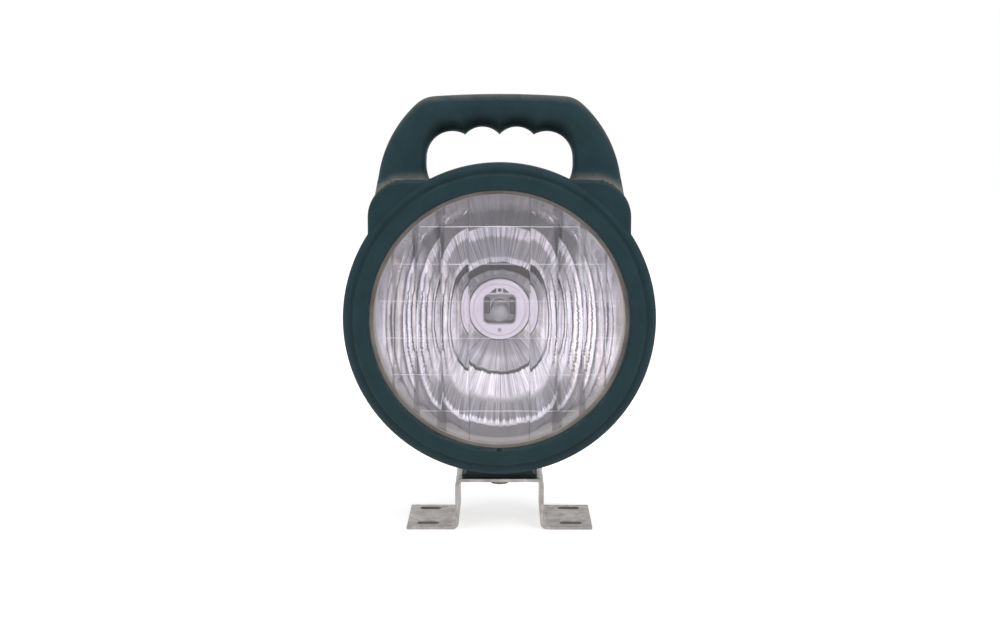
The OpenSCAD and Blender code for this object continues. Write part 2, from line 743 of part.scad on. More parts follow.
module bulb_holder()
    color("gainsboro") difference() {
        union() {
            difference() {
                union() {
                    rod_y(0, 0, holder_y, holder_back_y, 2 * holder_r, 64);
                    rod_y(0, 0, cup_y, holder_back_y, 2 * cup_r, 64);
                }
                rod_y(0, 0, cup_y + holder_t, holder_back_y + cut, 2 * (cup_r - holder_t), 64);
            }
            plate_y(cup_y, base_y) well_shape(holder_t);
            rod_y(0, clip_post_z, cup_y, clip_y, 2 * post_r);
            translate([-clip_x, cup_y, lens_z - clip_foot_z - 2 * holder_t])
                cube([2 * clip_x, clip_y + clip_wire + holder_t - cup_y, holder_t]);
        }
        plate_y(cup_y - cut, well_y) well_shape(0);
        rod_y(0, 0, well_y - cut, base_y + cut, bulb_d + 2 * bolt_gap);
        rod_y(0, clip_post_z, cup_y + holder_t, clip_y + cut, clip_screw_d + fit_gap);
    }

module bulb_base()
    color("silver") difference() {
        union() {
            rod_y(0, 0, base_y, clip_y, base_flange_d);
            rod_y(0, 0, base_y, base_back_y, base_d);
        }
        rod_y(0, 0, base_y - cut, clip_y + base_l / 2, bulb_d);
    }

module bulb_glass() {
    end_y = clip_y + base_l / 2;
    r = bulb_d / 2;
    dome = arc([0, bulb_tip_y + r], r, -90, 0, 7);
    inner = arc([0, bulb_tip_y + r], r - bulb_wall, 0, -90, 7);
    color("azure", 0.5) round_y() polygon(concat(
        dome, [[r, end_y], [0, end_y], [0, end_y - bulb_wall], [r - bulb_wall, end_y - bulb_wall]], inner
    ));
}

module bulb_filament() {
    root_y = clip_y + base_l / 2 - bulb_wall;
    color("gray") {
        translate([-filament_l / 2, filament_y, lens_z]) rotate([0, 90, 0])
            cylinder(d = filament_d, h = filament_l, $fn = 24);
        for (side = [-1, 1])
            rod_y(side * (filament_l / 2 - post_d), 0, filament_y, root_y, post_d, 24);
    }
}

module bulb_clip() {
    y = clip_y + clip_wire / 2 + fit_gap / 4;
    eye_y = clip_y;
    top_z = clip_post_z - post_r;
    color("lightsteelblue") {
        for (side = [-1, 1])
            translate([side * clip_x, y, lens_z - clip_foot_z])
                cylinder(d = clip_wire, h = clip_foot_z + top_z + cut, $fn = 24);
        translate([-clip_x, y, lens_z - clip_foot_z]) rotate([0, 90, 0])
            cylinder(d = clip_wire, h = 2 * clip_x, $fn = 24);
        difference() {
            union() {
                translate([-clip_x - clip_wire / 2, eye_y, lens_z + top_z + fit_gap])
                    cube([2 * clip_x + clip_wire, clip_wire, clip_wire]);
                rod_y(0, clip_post_z, eye_y, eye_y + clip_wire, 2 * post_r);
            }
            rod_y(0, clip_post_z, eye_y - cut, eye_y + clip_wire + cut, clip_screw_d + fit_gap);
        }
    }
}

module earth_tag() {
    tag_x = max(post_r, clip_screw_d / 2 + clip_head_rim) + fit_gap;
    color("khaki") difference() {
        union() {
            rod_y(0, clip_post_z, tag_y, clip_head_y, 2 * post_r);
            translate([-tag_x - tag_t, tag_y, lens_z + clip_post_z - blade_w / 2]) {
                cube([tag_x + tag_t, tag_t, blade_w]);
                cube([tag_t, tag_t + tag_l, blade_w]);
            }
        }
        rod_y(0, clip_post_z, tag_y - cut, clip_head_y + cut, clip_screw_d + fit_gap);
    }
}

module clip_screw()
    color("silver") {
        rod_y(0, clip_post_z, cup_y + 2 * holder_t, clip_head_y + cut, clip_screw_d);
        rod_y(0, clip_post_z, clip_head_y, clip_head_y + clip_head_h, clip_screw_d + 2 * clip_head_rim);
    }

// Tube of diameter d through the points, with ends square to the first and last stretch
module tube(points, d, sides = 8) {
    n = len(points);
    rings = [
        for (i = [0:n - 1])
            let (
                t = points[min(i + 1, n - 1)] - points[max(i - 1, 0)],
                u = t / norm(t),
                side = cross(u, abs(u[2]) < 0.9 ? [0, 0, 1] : [1, 0, 0]),
                a = side / norm(side),
                b = cross(u, a)
            )
            [
                for (k = [0:sides - 1])
                    points[i] + d / 2 * (a * cos(360 * k / sides) + b * sin(360 * k / sides))
            ]
    ];
    walls = [
        for (i = [0:n - 2], k = [0:sides - 1], half = [0, 1])
            let (j = (k + 1) % sides, p = i * sides + k, q = i * sides + j)
            half == 0 ? [p, p + sides, q] : [q, p + sides, q + sides]
    ];
    ends = [[for (k = [0:sides - 1]) k], [for (k = [sides - 1:-1:0]) (n - 1) * sides + k]];
    polyhedron(points = [for (r = rings, p = r) p], faces = concat(walls, ends));
}

// Smooth curve through hand-chosen points
function spline(p, per) =
    let (n = len(p))
    concat(
        [
            for (i = [0:n - 2], s = [0:per - 1])
                let (
                    t = s / per,
                    a = p[max(i - 1, 0)], b = p[i], c = p[i + 1], e = p[min(i + 2, n - 1)]
                )
                0.5 * (2 * b + (c - a) * t + (2 * a - 5 * b + 4 * c - e) * t * t
                    + (3 * b - a - 3 * c + e) * t * t * t)
        ],
        [p[n - 1]]
    );

module bulb_lead() {
    tip_y = switch_y - blade_l;
    grip_y = lead_y;
    side_x = switch_w / 2 + lead_side;
    mid_x = blade_x + blade_w / 2;
    up = lens_z + switch_up;
    route = [
        [0, base_back_y + fit_gap, lens_z],
        [0, base_back_y + lead_bow / 2, lens_z],
        [side_x / 2, base_back_y + lead_bow, lens_z - lead_d / 2],
        [side_x, base_back_y + lead_bow / 3, lens_z + lead_d],
        [side_x + lead_d, grip_y + lead_d, up - 2.5 * lead_d],
        [side_x, grip_y - 1.5 * lead_d, up - lead_d / 2],
        [mid_x + blade_w / 2, grip_y - 1.8 * lead_d, up],
        [mid_x, grip_y - lead_d, up],
        [mid_x, grip_y, up]
    ];
    sleeve = blade_t + 2 * terminal_wall + fit_gap;
    color("royalblue") tube(spline(route, 3), lead_d);
    color("gold") difference() {
        translate([blade_x - terminal_wall, grip_y, up - sleeve / 2])
            cube([blade_w + 2 * terminal_wall, terminal_l + blade_l / 2, sleeve]);
        translate([blade_x - fit_gap / 2, tip_y, up - blade_t / 2 - fit_gap / 2])
            cube([blade_w + fit_gap, blade_l, blade_t + fit_gap]);
    }
}

module switch_body() {
    mouth_y = panel_y + bush_l;
    socket_y = ball_y - ball_r - ball_gap;
    color("dimgray") difference() {
        union() {
            translate([-switch_w / 2, switch_y, lens_z + switch_up - switch_h / 2])
                cube([switch_w, switch_d, switch_h]);
            rod_y(0, switch_up, panel_in_y - cut, mouth_y, bush_d);
            for (side = [0, 1]) mirror([side, 0, 0])
                translate([blade_x, switch_y - blade_l, lens_z + switch_up - blade_t / 2])
                    cube([blade_w, blade_l + cut, blade_t]);
        }
        rod_y(0, switch_up, socket_y, mouth_y + cut, 2 * (ball_r + ball_gap));
    }
}

module switch_seal()
    color("black") translate([0, 0, switch_up])
        ring_y(bush_d / 2 + fit_gap / 2, switch_af / 2 + 1, panel_y, panel_y + switch_seal_t);

module switch_nut() {
    y0 = panel_y + switch_seal_t;
    color("silver") difference() {
        hex_y(0, switch_up, y0, y0 + switch_nut_t, switch_af);
        rod_y(0, switch_up, y0 - cut, y0 + switch_nut_t + cut, bush_d + fit_gap);
    }
}

module switch_lever()
    color("gainsboro") translate([0, ball_y, lens_z + switch_up]) rotate([-90 - lever_slant, 0, 0]) {
        sphere(r = ball_r, $fn = 48);
        cylinder(d1 = lever_neck_d, d2 = lever_tip_d, h = ball_r + lever_l - lever_tip_d / 2, $fn = 48);
        translate([0, 0, ball_r + lever_l - lever_tip_d / 2]) sphere(d = lever_tip_d - 0.1, $fn = 48);
    }

module cable_gland() {
    nose_y = panel_y + gland_flange_t + gland_nose;
    seal_y = panel_y + gland_flange_t;
    tail_y = panel_in_y - locknut_t - gland_tail;
    color("#26282a") difference() {
        union() {
            rod_y(0, -gland_down, tail_y, panel_y + cut, gland_d);
            hex_y(0, -gland_down, panel_y, seal_y, gland_af);
            rod_y(0, -gland_down, seal_y - cut, nose_y, gland_d);
        }
        rod_y(0, -gland_down, tail_y - cut, nose_y + cut, cable_d + 2 * fit_gap);
        rod_y(0, -gland_down, seal_y, nose_y + cut, gland_bore);
    }
}

module gland_seal()
    color("black") translate([0, 0, -gland_down])
        ring_y(cable_d / 2, gland_bore / 2 - fit_gap / 2, panel_y + gland_flange_t, cap_end_y - cap_end);

module gland_cap() {
    nose_y = panel_y + gland_flange_t + gland_nose;
    color("#26282a") difference() {
        hex_y(0, -gland_down, cap_y, cap_end_y, gland_af);
        rod_y(0, -gland_down, cap_y - cut, nose_y, cap_bore);
        rod_y(0, -gland_down, nose_y - cut, cap_end_y + cut, cable_d + 2 * fit_gap);
    }
}

module gland_locknut()
    color("#26282a") difference() {
        hex_y(0, -gland_down, panel_in_y - locknut_t, panel_in_y, gland_af + 2);
        rod_y(0, -gland_down, panel_in_y - locknut_t - cut, panel_in_y + cut, gland_d + fit_gap);
    }

module foot_sleeve()
    color("lightgray") washer_z(plate_top, seat_h, sleeve_d, bolt_hole_d);

module seat_washer()
    color("silver") washer_z(seat_z, washer_t, washer_d, bolt_hole_d);

module pivot_bolt()
    color("silver") {
        rod_z(plate_under - washer_t - cut, bolt_end_z, bolt_d);
        translate([0, 0, bolt_head_z]) cylinder(r = hex_r(nut_af), h = bolt_head_h, $fn = 6);
    }

module plate_washer()
    color("silver") washer_z(plate_under - washer_t, washer_t, washer_d, bolt_hole_d);

module spring_washer()
    color("darkgray") difference() {
        washer_z(spring_z, spring_t, bolt_d + 2 * spring_rim, bolt_hole_d);
        translate([0, -spring_split / 2, spring_z - cut])
            cube([bolt_d + spring_rim, spring_split, spring_t + 2 * cut]);
    }

module pivot_nut()
    color("silver") difference() {
        translate([0, 0, nut_z]) cylinder(r = hex_r(nut_af), h = nut_h, $fn = 6);
        rod_z(nut_z - cut, nut_z + nut_h + cut, bolt_d + fit_gap);
    }

bracket();
rear_housing();
front_bezel();
carry_handle();
bezel_screws();
bezel_inserts();
lens();
lens_seal();
reflector();
bulb_holder();
bulb_base();
bulb_glass();
bulb_filament();
bulb_clip();
clip_screw();
earth_tag();
bulb_lead();
switch_body();
switch_seal();
switch_nut();
switch_lever();
cable_gland();
gland_seal();
gland_cap();
gland_locknut();
foot_sleeve();
pivot_bolt();
seat_washer();
plate_washer();
spring_washer();
pivot_nut();
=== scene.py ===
import json
import math

import bmesh
import bpy
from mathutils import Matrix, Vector


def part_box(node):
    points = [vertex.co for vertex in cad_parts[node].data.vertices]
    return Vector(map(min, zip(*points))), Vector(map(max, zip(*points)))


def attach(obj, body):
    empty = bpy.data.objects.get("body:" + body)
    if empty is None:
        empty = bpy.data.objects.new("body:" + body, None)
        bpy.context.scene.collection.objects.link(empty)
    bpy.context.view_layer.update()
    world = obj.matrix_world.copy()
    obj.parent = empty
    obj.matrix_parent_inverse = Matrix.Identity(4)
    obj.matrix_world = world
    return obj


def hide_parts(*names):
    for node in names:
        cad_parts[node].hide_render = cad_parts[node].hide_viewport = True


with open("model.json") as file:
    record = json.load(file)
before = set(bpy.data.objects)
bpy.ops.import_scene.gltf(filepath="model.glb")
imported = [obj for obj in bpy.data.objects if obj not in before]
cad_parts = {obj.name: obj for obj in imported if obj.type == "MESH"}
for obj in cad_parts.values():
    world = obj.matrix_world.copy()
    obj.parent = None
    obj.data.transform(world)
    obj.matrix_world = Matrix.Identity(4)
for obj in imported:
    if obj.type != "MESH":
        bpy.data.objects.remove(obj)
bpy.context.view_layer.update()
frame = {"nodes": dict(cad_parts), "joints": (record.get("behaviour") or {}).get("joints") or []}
scene = bpy.context.scene
scene.view_settings.view_transform = "Standard"
print("frame loaded:", len(frame["nodes"]), "nodes")


def span(node):
    low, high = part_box(node)
    return low * 1000, high * 1000  # mm, as all sizes here


lensLow, lensHigh = span("lens")
axisZ = (lensLow.z + lensHigh.z) / 2  # height of the lens axis

# ears stand on bezel, handle and housing alike
ear = dict(x=71.8, z=76.35, corner=20.0, round=2.3)


# mesh tools: a shell is a list of points in mm and a list of faces
def arc(cx, cy, r, a0, a1, n, first=0):
    turns = [math.radians(a0 + (a1 - a0) * i / n) for i in range(first, n + 1)]
    return [(cx + r * math.cos(t), cy + r * math.sin(t)) for t in turns]


def quarter(step):
    # a quarter turn in steps of so many degrees
    return [math.radians(t) for t in range(0, 91, step)]


def smooth(t):
    # an even ramp from 0 to 1
    t = min(1.0, max(0.0, t))
    return t * t * (3 - 2 * t)


def soften(corners, closed=True, step=12):
    # rounds the corners of an outline of (u, v, radius)
    out, n = [], len(corners)
    for i, (u, v, r) in enumerate(corners):
        atEnd = not closed and i in (0, n - 1)
        if r <= 0 or atEnd:
            out.append((u, v))
            continue
        p = Vector((u, v))
        a = Vector(corners[i - 1][:2]) - p
        b = Vector(corners[(i + 1) % n][:2]) - p
        reach = 0.49 * min(a.length, b.length)
        a.normalize()
        b.normalize()
        half = math.acos(max(-1, min(1, a.dot(b)))) / 2
        t = min(r / math.tan(half), reach)
        r = t * math.tan(half)
        c = p + (a + b).normalized() * (r / math.sin(half))
        first, last = p + a * t - c, p + b * t - c
        turn = math.atan2(first.x * last.y - first.y * last.x, first.dot(last))
        k = max(2, math.ceil(abs(math.degrees(turn)) / step))
        for j in range(k + 1):
            w = turn * j / k
            out.append((
                c.x + first.x * math.cos(w) - first.y * math.sin(w),
                c.y + first.x * math.sin(w) + first.y * math.cos(w),
            ))
    return out


def onY(x0=0, z0=0):
    return lambda r, h, a: (x0 + r * math.sin(a), h, axisZ + z0 + r * math.cos(a))


def onZ(x0=0, y0=0):
    return lambda r, h, a: (x0 + r * math.cos(a), y0 + r * math.sin(a), h)


def sweep(rows, aroundRows, aroundRing):
    n, m = len(rows[0]), len(rows)
    faces = []
    for i in range(m if aroundRows else m - 1):
        for j in range(n if aroundRing else n - 1):
            k, e = (i + 1) % m, (j + 1) % n
            faces.append((i * n + j, i * n + e, k * n + e, k * n + j))
    return [p for row in rows for p in row], faces


def loft(rings):
    verts, faces = sweep(rings, False, True)
    n = len(rings[0])
    faces.append(tuple(range(n)))
    faces.append(tuple(range((len(rings) - 1) * n, len(rings) * n)))
    return verts, faces


def spin(profile, place, turns=160, closed=True):
    # profile: points of (radius, height), or a function of the angle that gives them
    angles = turns if isinstance(turns, list) else [2 * math.pi * k / turns for k in range(turns)]
    rows = []
    for a in angles:
        points = profile(a) if callable(profile) else profile
        rows.append([place(r, h, a) for r, h in points])
    return sweep(rows, True, closed)


def hexReach(a, flats):
    turn = math.pi / 3
    return flats / 2 / math.cos((a % turn) - turn / 2)


def hexShape(h0, h1, flats, bore, place, chamfer=(True, True), edge=0.4):
    # hexagon whose ends are turned to a cone
    slope = math.tan(math.radians(30))
    small = flats * 0.475  # radius of the flat that is left on an end
    drop = (flats / math.sqrt(3) - small) * slope
    steps = [drop * k / 4 for k in range(5)]

    def end(reach, cone, h, way):
        return [(min(reach, small + s / slope), h + way * s) if cone else (reach, h) for s in steps]

    def profile(a):
        reach, r = hexReach(a, flats), bore / 2
        points = end(reach, chamfer[0], h0, 1) + end(reach, chamfer[1], h1, -1)[::-1]
        return points + [(r + edge, h1), (r, h1 - edge), (r, h0 + edge), (r + edge, h0)]

    return spin(profile, place, 96)


def washerShape(h0, h1, r, bore, place, edge=0.2):
    return spin(soften([(bore, h0, edge), (r, h0, edge), (r, h1, edge), (bore, h1, edge)]), place, 64)


def threadLine(r, h0, h1, pitch, deep=0.32):
    count = max(1, round((h1 - h0) / pitch))
    line = []
    for k in range(count):
        base = h0 + (h1 - h0) * k / count
        rise = (h1 - h0) / count
        line += [(r - deep, base), (r, base + rise * 0.45), (r, base + rise * 0.55)]
    return line + [(r - deep, h1)]


def roundRect(x0, x1, y0, y1, r, n=6):
    corners = [(x1 - r, y1 - r, 0), (x0 + r, y1 - r, 90), (x0 + r, y0 + r, 180), (x1 - r, y0 + r, 270)]
    return [p for cx, cy, a in corners for p in arc(cx, cy, r, a, a + 90, n)]


def softBox(low, high, r, along=1):
    # box with rounded edges, its rings stacked along one axis
    axes = [k for k in range(3) if k != along]
    lo, hi = [low[k] for k in axes], [high[k] for k in axes]
    bends = [math.radians(t) for t in (0, 22.5, 45, 67.5, 90)]
    steps = [(r * (1 - math.sin(t)), low[along] + r * (1 - math.cos(t))) for t in bends]
    steps += [(r * (1 - math.sin(t)), high[along] - r * (1 - math.cos(t))) for t in bends[::-1]]
    rings = []
    for inset, at in steps:
        ring = []
        corner = max(r * 1.3 - inset, 0.02)
        for u, v in roundRect(lo[0] + inset, hi[0] - inset, lo[1] + inset, hi[1] - inset, corner, 4):
            p = [0, 0, 0]
            p[axes[0]], p[axes[1]], p[along] = u, v, at
            ring.append(tuple(p))
        rings.append(ring)
    return loft(rings)


def tubeAlong(points, r, sides=10):
    rings, up = [], None
    for i, p in enumerate(points):
        p = Vector(p)
        t = (Vector(points[min(i + 1, len(points) - 1)]) - Vector(points[max(i - 1, 0)])).normalized()
        if up is None:
            up = t.orthogonal().normalized()
        up = (up - t * up.dot(t)).normalized()
        other = t.cross(up)
        turns = [2 * math.pi * k / sides for k in range(sides)]
        rings.append([tuple(p + (up * math.cos(w) + other * math.sin(w)) * r) for w in turns])
    return loft(rings)


def solid(name, *shells, near=2e-7):
    bm = bmesh.new()
    for verts, faces in shells:
        made = [bm.verts.new(Vector(v) / 1000) for v in verts]
        for face in faces:
            bm.faces.new([made[i] for i in face])
    bmesh.ops.remove_doubles(bm, verts=bm.verts, dist=near)
    bmesh.ops.dissolve_degenerate(bm, dist=near, edges=bm.edges)
    bmesh.ops.recalc_face_normals(bm, faces=bm.faces)
    mesh = bpy.data.meshes.new(name)
    bm.to_mesh(mesh)
    bm.free()
    ob = bpy.data.objects.new(name, mesh)
    scene.collection.objects.link(ob)
    return ob


def settle(ob):
    # turns a piece's modifiers into its mesh
    bpy.context.view_layer.update()
    old = ob.data
    new = bpy.data.meshes.new_from_object(ob.evaluated_get(bpy.context.evaluated_depsgraph_get()))
    ob.modifiers.clear()
    ob.data = new
    bpy.data.meshes.remove(old)


def carve(ob, operation, *others):
    for other in others:
        cut = ob.modifiers.new("cut", "BOOLEAN")
        cut.operation, cut.object, cut.solver = operation, other, "EXACT"
    settle(ob)
    for other in others:
        old = other.data
        bpy.data.objects.remove(other)
        bpy.data.meshes.remove(old)


def dress(ob, material, slotName, *nodes, body="head", sharp=34):
    ob.data.materials.clear()
    ob.data.materials.append(material)
    for face in ob.data.polygons:
        face.use_smooth = True
    ob.data.set_sharp_from_angle(angle=math.radians(sharp))
    even = ob.modifiers.new("evenShade", "WEIGHTED_NORMAL")
    even.keep_sharp = True
    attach(ob, body)
    if nodes:
        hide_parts(*nodes)


# shader tools
def addNode(tree, kind, **values):
    made = tree.nodes.new("ShaderNode" + kind)
    for key, value in values.items():
        setattr(made, key, value)
    return made


def put(tree, socket, value):
    if isinstance(value, bpy.types.NodeSocket):
        tree.links.new(value, socket)
    else:
        socket.default_value = value


def calc(tree, operation, a, b=0.0, c=0.0):
    made = addNode(tree, "Math", operation=operation)
    for socket, given in zip(made.inputs, (a, b, c)):
        put(tree, socket, given)
    return made.outputs[0]


def product(tree, first, *others):
    for other in others:
        first = calc(tree, "MULTIPLY", first, other)
    return first


def mapTo(tree, value, low, high, outLow, outHigh):
    made = addNode(tree, "MapRange")
    for socket, given in zip(made.inputs, (value, low, high, outLow, outHigh)):
        put(tree, socket, given)
    return made.outputs[0]


def mixColour(tree, factor, a, b):
    made = addNode(tree, "Mix", data_type="RGBA")
    for k, given in ((0, factor), (6, a), (7, b)):
        put(tree, made.inputs[k], given)
    return made.outputs[2]


def noise(tree, vector, scale, detail=3.0, rough=0.55):
    made = addNode(tree, "TexNoise")
    for label, given in (("Vector", vector), ("Scale", scale), ("Detail", detail), ("Roughness", rough)):
        put(tree, made.inputs[label], given)
    return made.outputs[0]


def parts(tree, vector):
    # X, Y and Z of a vector
    split = addNode(tree, "SeparateXYZ")
    put(tree, split.inputs[0], vector)
    return split.outputs


def joinVector(tree, x, y, z):
    made = addNode(tree, "CombineXYZ")
    for socket, given in zip(made.inputs, (x, y, z)):
        put(tree, socket, given)
    return made.outputs[0]


def scaled(tree, colour, tone):
    # a colour times a tone
    made = addNode(tree, "VectorMath", operation="SCALE")
    put(tree, made.inputs[0], colour)
    put(tree, made.inputs["Scale"], tone)
    return made.outputs[0]


def far2d(tree, x, z):
    return calc(tree, "SQRT", calc(tree, "ADD", product(tree, x, x), product(tree, z, z)))


def newGroup(name, inputs, outputs):
    tree = bpy.data.node_groups.new(name, "ShaderNodeTree")
    for label, value in inputs.items():
        tree.interface.new_socket(label, in_out="INPUT", socket_type="NodeSocketFloat").default_value = value
    for label in outputs:
        tree.interface.new_socket(label, in_out="OUTPUT", socket_type="NodeSocketFloat")
    return tree, tree.nodes.new("NodeGroupInput").outputs, tree.nodes.new("NodeGroupOutput").inputs


def useGroup(tree, group, **values):
    made = addNode(tree, "Group", node_tree=group)
    for label, value in values.items():
        put(tree, made.inputs[label], value)
    return made.outputs


def newSurface(name, **sockets):
    mat = bpy.data.materials.new(name)
    mat.use_nodes = True
    paint = mat.node_tree.nodes["Principled BSDF"].inputs
    for label, value in sockets.items():
        paint[label.replace("_", " ")].default_value = value
    return mat, mat.node_tree, paint


def addBump(tree, sockets, height, strength, distance):
    bump = addNode(tree, "Bump")
    bump.inputs["Strength"].default_value = strength
    bump.inputs["Distance"].default_value = distance
    put(tree, bump.inputs["Height"], height)
    put(tree, sockets["Normal"], bump.outputs[0])


# effects that several finishes share
def swingTone(tree, value, low, high, contrast):
    # a tone round 1
    swing = mapTo(tree, value, low, high, -1.0, 1.0)
    return calc(tree, "ADD", product(tree, swing, contrast), 1.0)


def makePatchTone():
    # slow change of tone over a surface
    tree, given, result = newGroup("patchTone", {"Scale": 60.0, "Contrast": 0.15}, ["Tone"])
    place = addNode(tree, "TexCoord").outputs["Object"]
    patch = noise(tree, place, given["Scale"], 4.0, 0.6)
    put(tree, result["Tone"], swingTone(tree, patch, 0.3, 0.7, given["Contrast"]))
    return tree


def makeFineGrain():
    # moulded skin: fine grain with soft pits
    tree, given, result = newGroup("fineGrain", {"Scale": 1800.0, "Pits": 0.3}, ["Height"])
    place = addNode(tree, "TexCoord").outputs["Object"]
    fine = noise(tree, place, given["Scale"], 2.0, 0.5)
    broad = noise(tree, place, product(tree, given["Scale"], 0.12), 3.0, 0.6)
    put(tree, result["Height"], calc(tree, "ADD", fine, product(tree, broad, given["Pits"])))
    return tree


def makeTopDustAndLight():
    # dust that settles on what faces up, with painted light from above on the same faces
    tree, given, result = newGroup("topDustAndLight", {"Amount": 0.5, "Scale": 120.0}, ["Mask"])
    coords = addNode(tree, "TexCoord").outputs
    up = mapTo(tree, parts(tree, coords["Normal"])["Z"], 0.25, 1.0, 0.0, 1.0)
    patch = mapTo(tree, noise(tree, coords["Object"], given["Scale"], 4.0, 0.65), 0.35, 0.7, 0.35, 1.0)
    put(tree, result["Mask"], product(tree, up, patch, given["Amount"]))
    return tree


def makeEdgeRubAndHighlight():
    # outer edges that hands and straps have rubbed, with a painted highlight along the edges
    tree, given, result = newGroup("edgeRubAndHighlight", {"Amount": 0.5, "Scale": 150.0}, ["Mask"])
    place = addNode(tree, "TexCoord").outputs["Object"]
    edge = mapTo(tree, addNode(tree, "NewGeometry").outputs["Pointiness"], 0.505, 0.56, 0.0, 1.0)
    patch = mapTo(tree, noise(tree, place, given["Scale"], 4.0, 0.65), 0.35, 0.65, 0.2, 1.0)
    put(tree, result["Mask"], product(tree, edge, patch, given["Amount"]))
    return tree


def makeSpangle(v):
    # crystals of a zinc coat, with scuffs along the strip
    tree, given, result = newGroup("spangle", {"Scale": 260.0, "Contrast": 0.2}, ["Tone", "Height"])
    place = addNode(tree, "TexCoord").outputs["Object"]
    cloud = addNode(tree, "TexNoise")
    put(tree, cloud.inputs["Vector"], place)
    put(tree, cloud.inputs["Scale"], v["warpScale"])
    warp = addNode(tree, "Mix", data_type="VECTOR")
    for k, value in ((0, v["warp"]), (4, place), (5, cloud.outputs["Color"])):
        put(tree, warp.inputs[k], value)
    cells = addNode(tree, "TexVoronoi")
    put(tree, cells.inputs["Vector"], warp.outputs[1])
    put(tree, cells.inputs["Scale"], given["Scale"])
    grey = addNode(tree, "RGBToBW")
    put(tree, grey.inputs[0], cells.outputs["Color"])
    stretch = addNode(tree, "Mapping")
    put(tree, stretch.inputs["Scale"], v["scuffRun"])
    put(tree, stretch.inputs["Vector"], place)
    scuff = noise(tree, stretch.outputs[0], v["scuffScale"], 5.0, 0.7)
    both = calc(tree, "ADD", product(tree, grey.outputs[0], v["crystal"]), product(tree, scuff, v["scuff"]))
    put(tree, result["Tone"], swingTone(tree, both, 0.4, 1.0, given["Contrast"]))
    put(tree, result["Height"], both)
    return tree


def makeRootDust(v):
    # dust in the hollow where the handle's legs meet the ears
    tree, given, result = newGroup("rootDust", {"Amount": 0.5}, ["Mask"])
    place = addNode(tree, "TexCoord").outputs["Object"]
    at = parts(tree, place)
    x = product(tree, calc(tree, "ABSOLUTE", at["X"]), 1000.0)
    z = calc(tree, "MULTIPLY_ADD", at["Z"], 1000.0, -axisZ)
    corner = ear["corner"]
    u = calc(tree, "MAXIMUM", calc(tree, "SUBTRACT", x, ear["x"] - corner), 0.0)
    w = calc(tree, "MAXIMUM", calc(tree, "SUBTRACT", z, ear["z"] - corner), 0.0)
    gap = far2d(tree, u, w)
    near = mapTo(tree, gap, corner + v["full"], corner + v["gone"], 1.0, 0.0)
    for value, low, high in ((gap, corner + v["inGone"], corner + v["inFull"]), (z, *v["rise"])):
        near = calc(tree, "MINIMUM", near, mapTo(tree, value, low, high, 0.0, 1.0))
    front = mapTo(tree, at["Y"], *v["front"], 1.0, 0.0)
    outer = mapTo(tree, x, *v["across"], v["inner"], 1.0)
    patch = mapTo(tree, noise(tree, place, v["patch"], 4.0, 0.65), 0.35, 0.6, 0.5, 1.0)
    mask = product(tree, product(tree, near, near), product(tree, front, outer), patch, given["Amount"])
    put(tree, result["Mask"], mask)
    return tree


spangleLook = dict(warp=0.008, warpScale=180.0, scuffRun=(0.25, 1.0, 1.0), scuffScale=420.0, crystal=0.5,
                   scuff=0.9)
# gaps from the ear's outline and ranges across and up in mm, front in m
rootLook = dict(full=0.3, gone=4.5, inGone=-1.5, inFull=-0.5, rise=(62.0, 70.0), front=(-0.022, -0.019),
                across=(44.0, 68.0), inner=0.45, patch=140.0)
patchTone, fineGrain, topDustAndLight, edgeRubAndHighlight = makePatchTone(), makeFineGrain(), makeTopDustAndLight(), makeEdgeRubAndHighlight()
spangle, rootDust = makeSpangle(spangleLook), makeRootDust(rootLook)
toneRange = (0.8, 1.2)  # what a tone round 1 spans


def makeRubber(name, v):
    mat, tree, sockets = newSurface(name, Specular_IOR_Level=v["gloss"])
    tone = useGroup(tree, patchTone, Scale=v["patch"], Contrast=v["contrast"])["Tone"]
    grain = useGroup(tree, fineGrain, Scale=v["grain"], Pits=v["pits"])["Height"]
    dustAndLight = useGroup(tree, topDustAndLight, Amount=v["dustAndLight"], Scale=v["dustLightScale"])["Mask"]
    rubAndHighlight = useGroup(tree, edgeRubAndHighlight, Amount=v["rubAndHighlight"], Scale=v["rubHighlightScale"])["Mask"]
    facing = parts(tree, addNode(tree, "TexCoord").outputs["Normal"])["Z"]
    # painted shade: darker colour where the surface faces down
    shade = mapTo(tree, facing, -0.85, 0.05, v["under"], 1.0)  # darker where it faces down
    colour = scaled(tree, scaled(tree, v["colour"], tone), shade)
    # edge wear and painted edge highlight: lighter colour on sharp edges
    colour = mixColour(tree, rubAndHighlight, colour, v["rubHighlightColour"])
    # dust and painted light from above: lighter colour on what faces up
    colour = mixColour(tree, dustAndLight, colour, v["dustLightColour"])
    if v["root"]:
        colour = mixColour(tree, useGroup(tree, rootDust, Amount=v["root"])["Mask"], colour, v["rootColour"])
    put(tree, sockets["Base Color"], colour)
    rough = mapTo(tree, tone, *toneRange, *v["rough"])
    put(tree, sockets["Roughness"], calc(tree, "ADD", rough, product(tree, dustAndLight, v["dustRough"])))
    addBump(tree, sockets, grain, v["bump"], v["deep"])
    return mat


def makeMetal(name, v):
    mat, tree, sockets = newSurface(name, Metallic=v["metal"])
    made = useGroup(tree, spangle, Scale=v["scale"], Contrast=v["contrast"])
    tone = useGroup(tree, patchTone, Scale=v["patch"], Contrast=v["contrast"])["Tone"]
    rubAndHighlight = useGroup(tree, edgeRubAndHighlight, Amount=v["rubAndHighlight"], Scale=v["rubHighlightScale"])["Mask"]
    colour = scaled(tree, scaled(tree, v["colour"], made["Tone"]), tone)
    # edge wear and painted edge highlight on sharp edges
    put(tree, sockets["Base Color"], mixColour(tree, rubAndHighlight, colour, v["rubHighlightColour"]))
    put(tree, sockets["Roughness"], mapTo(tree, made["Tone"], *toneRange, *v["rough"]))
    addBump(tree, sockets, made["Height"], v["bump"], v["deep"])
    return mat


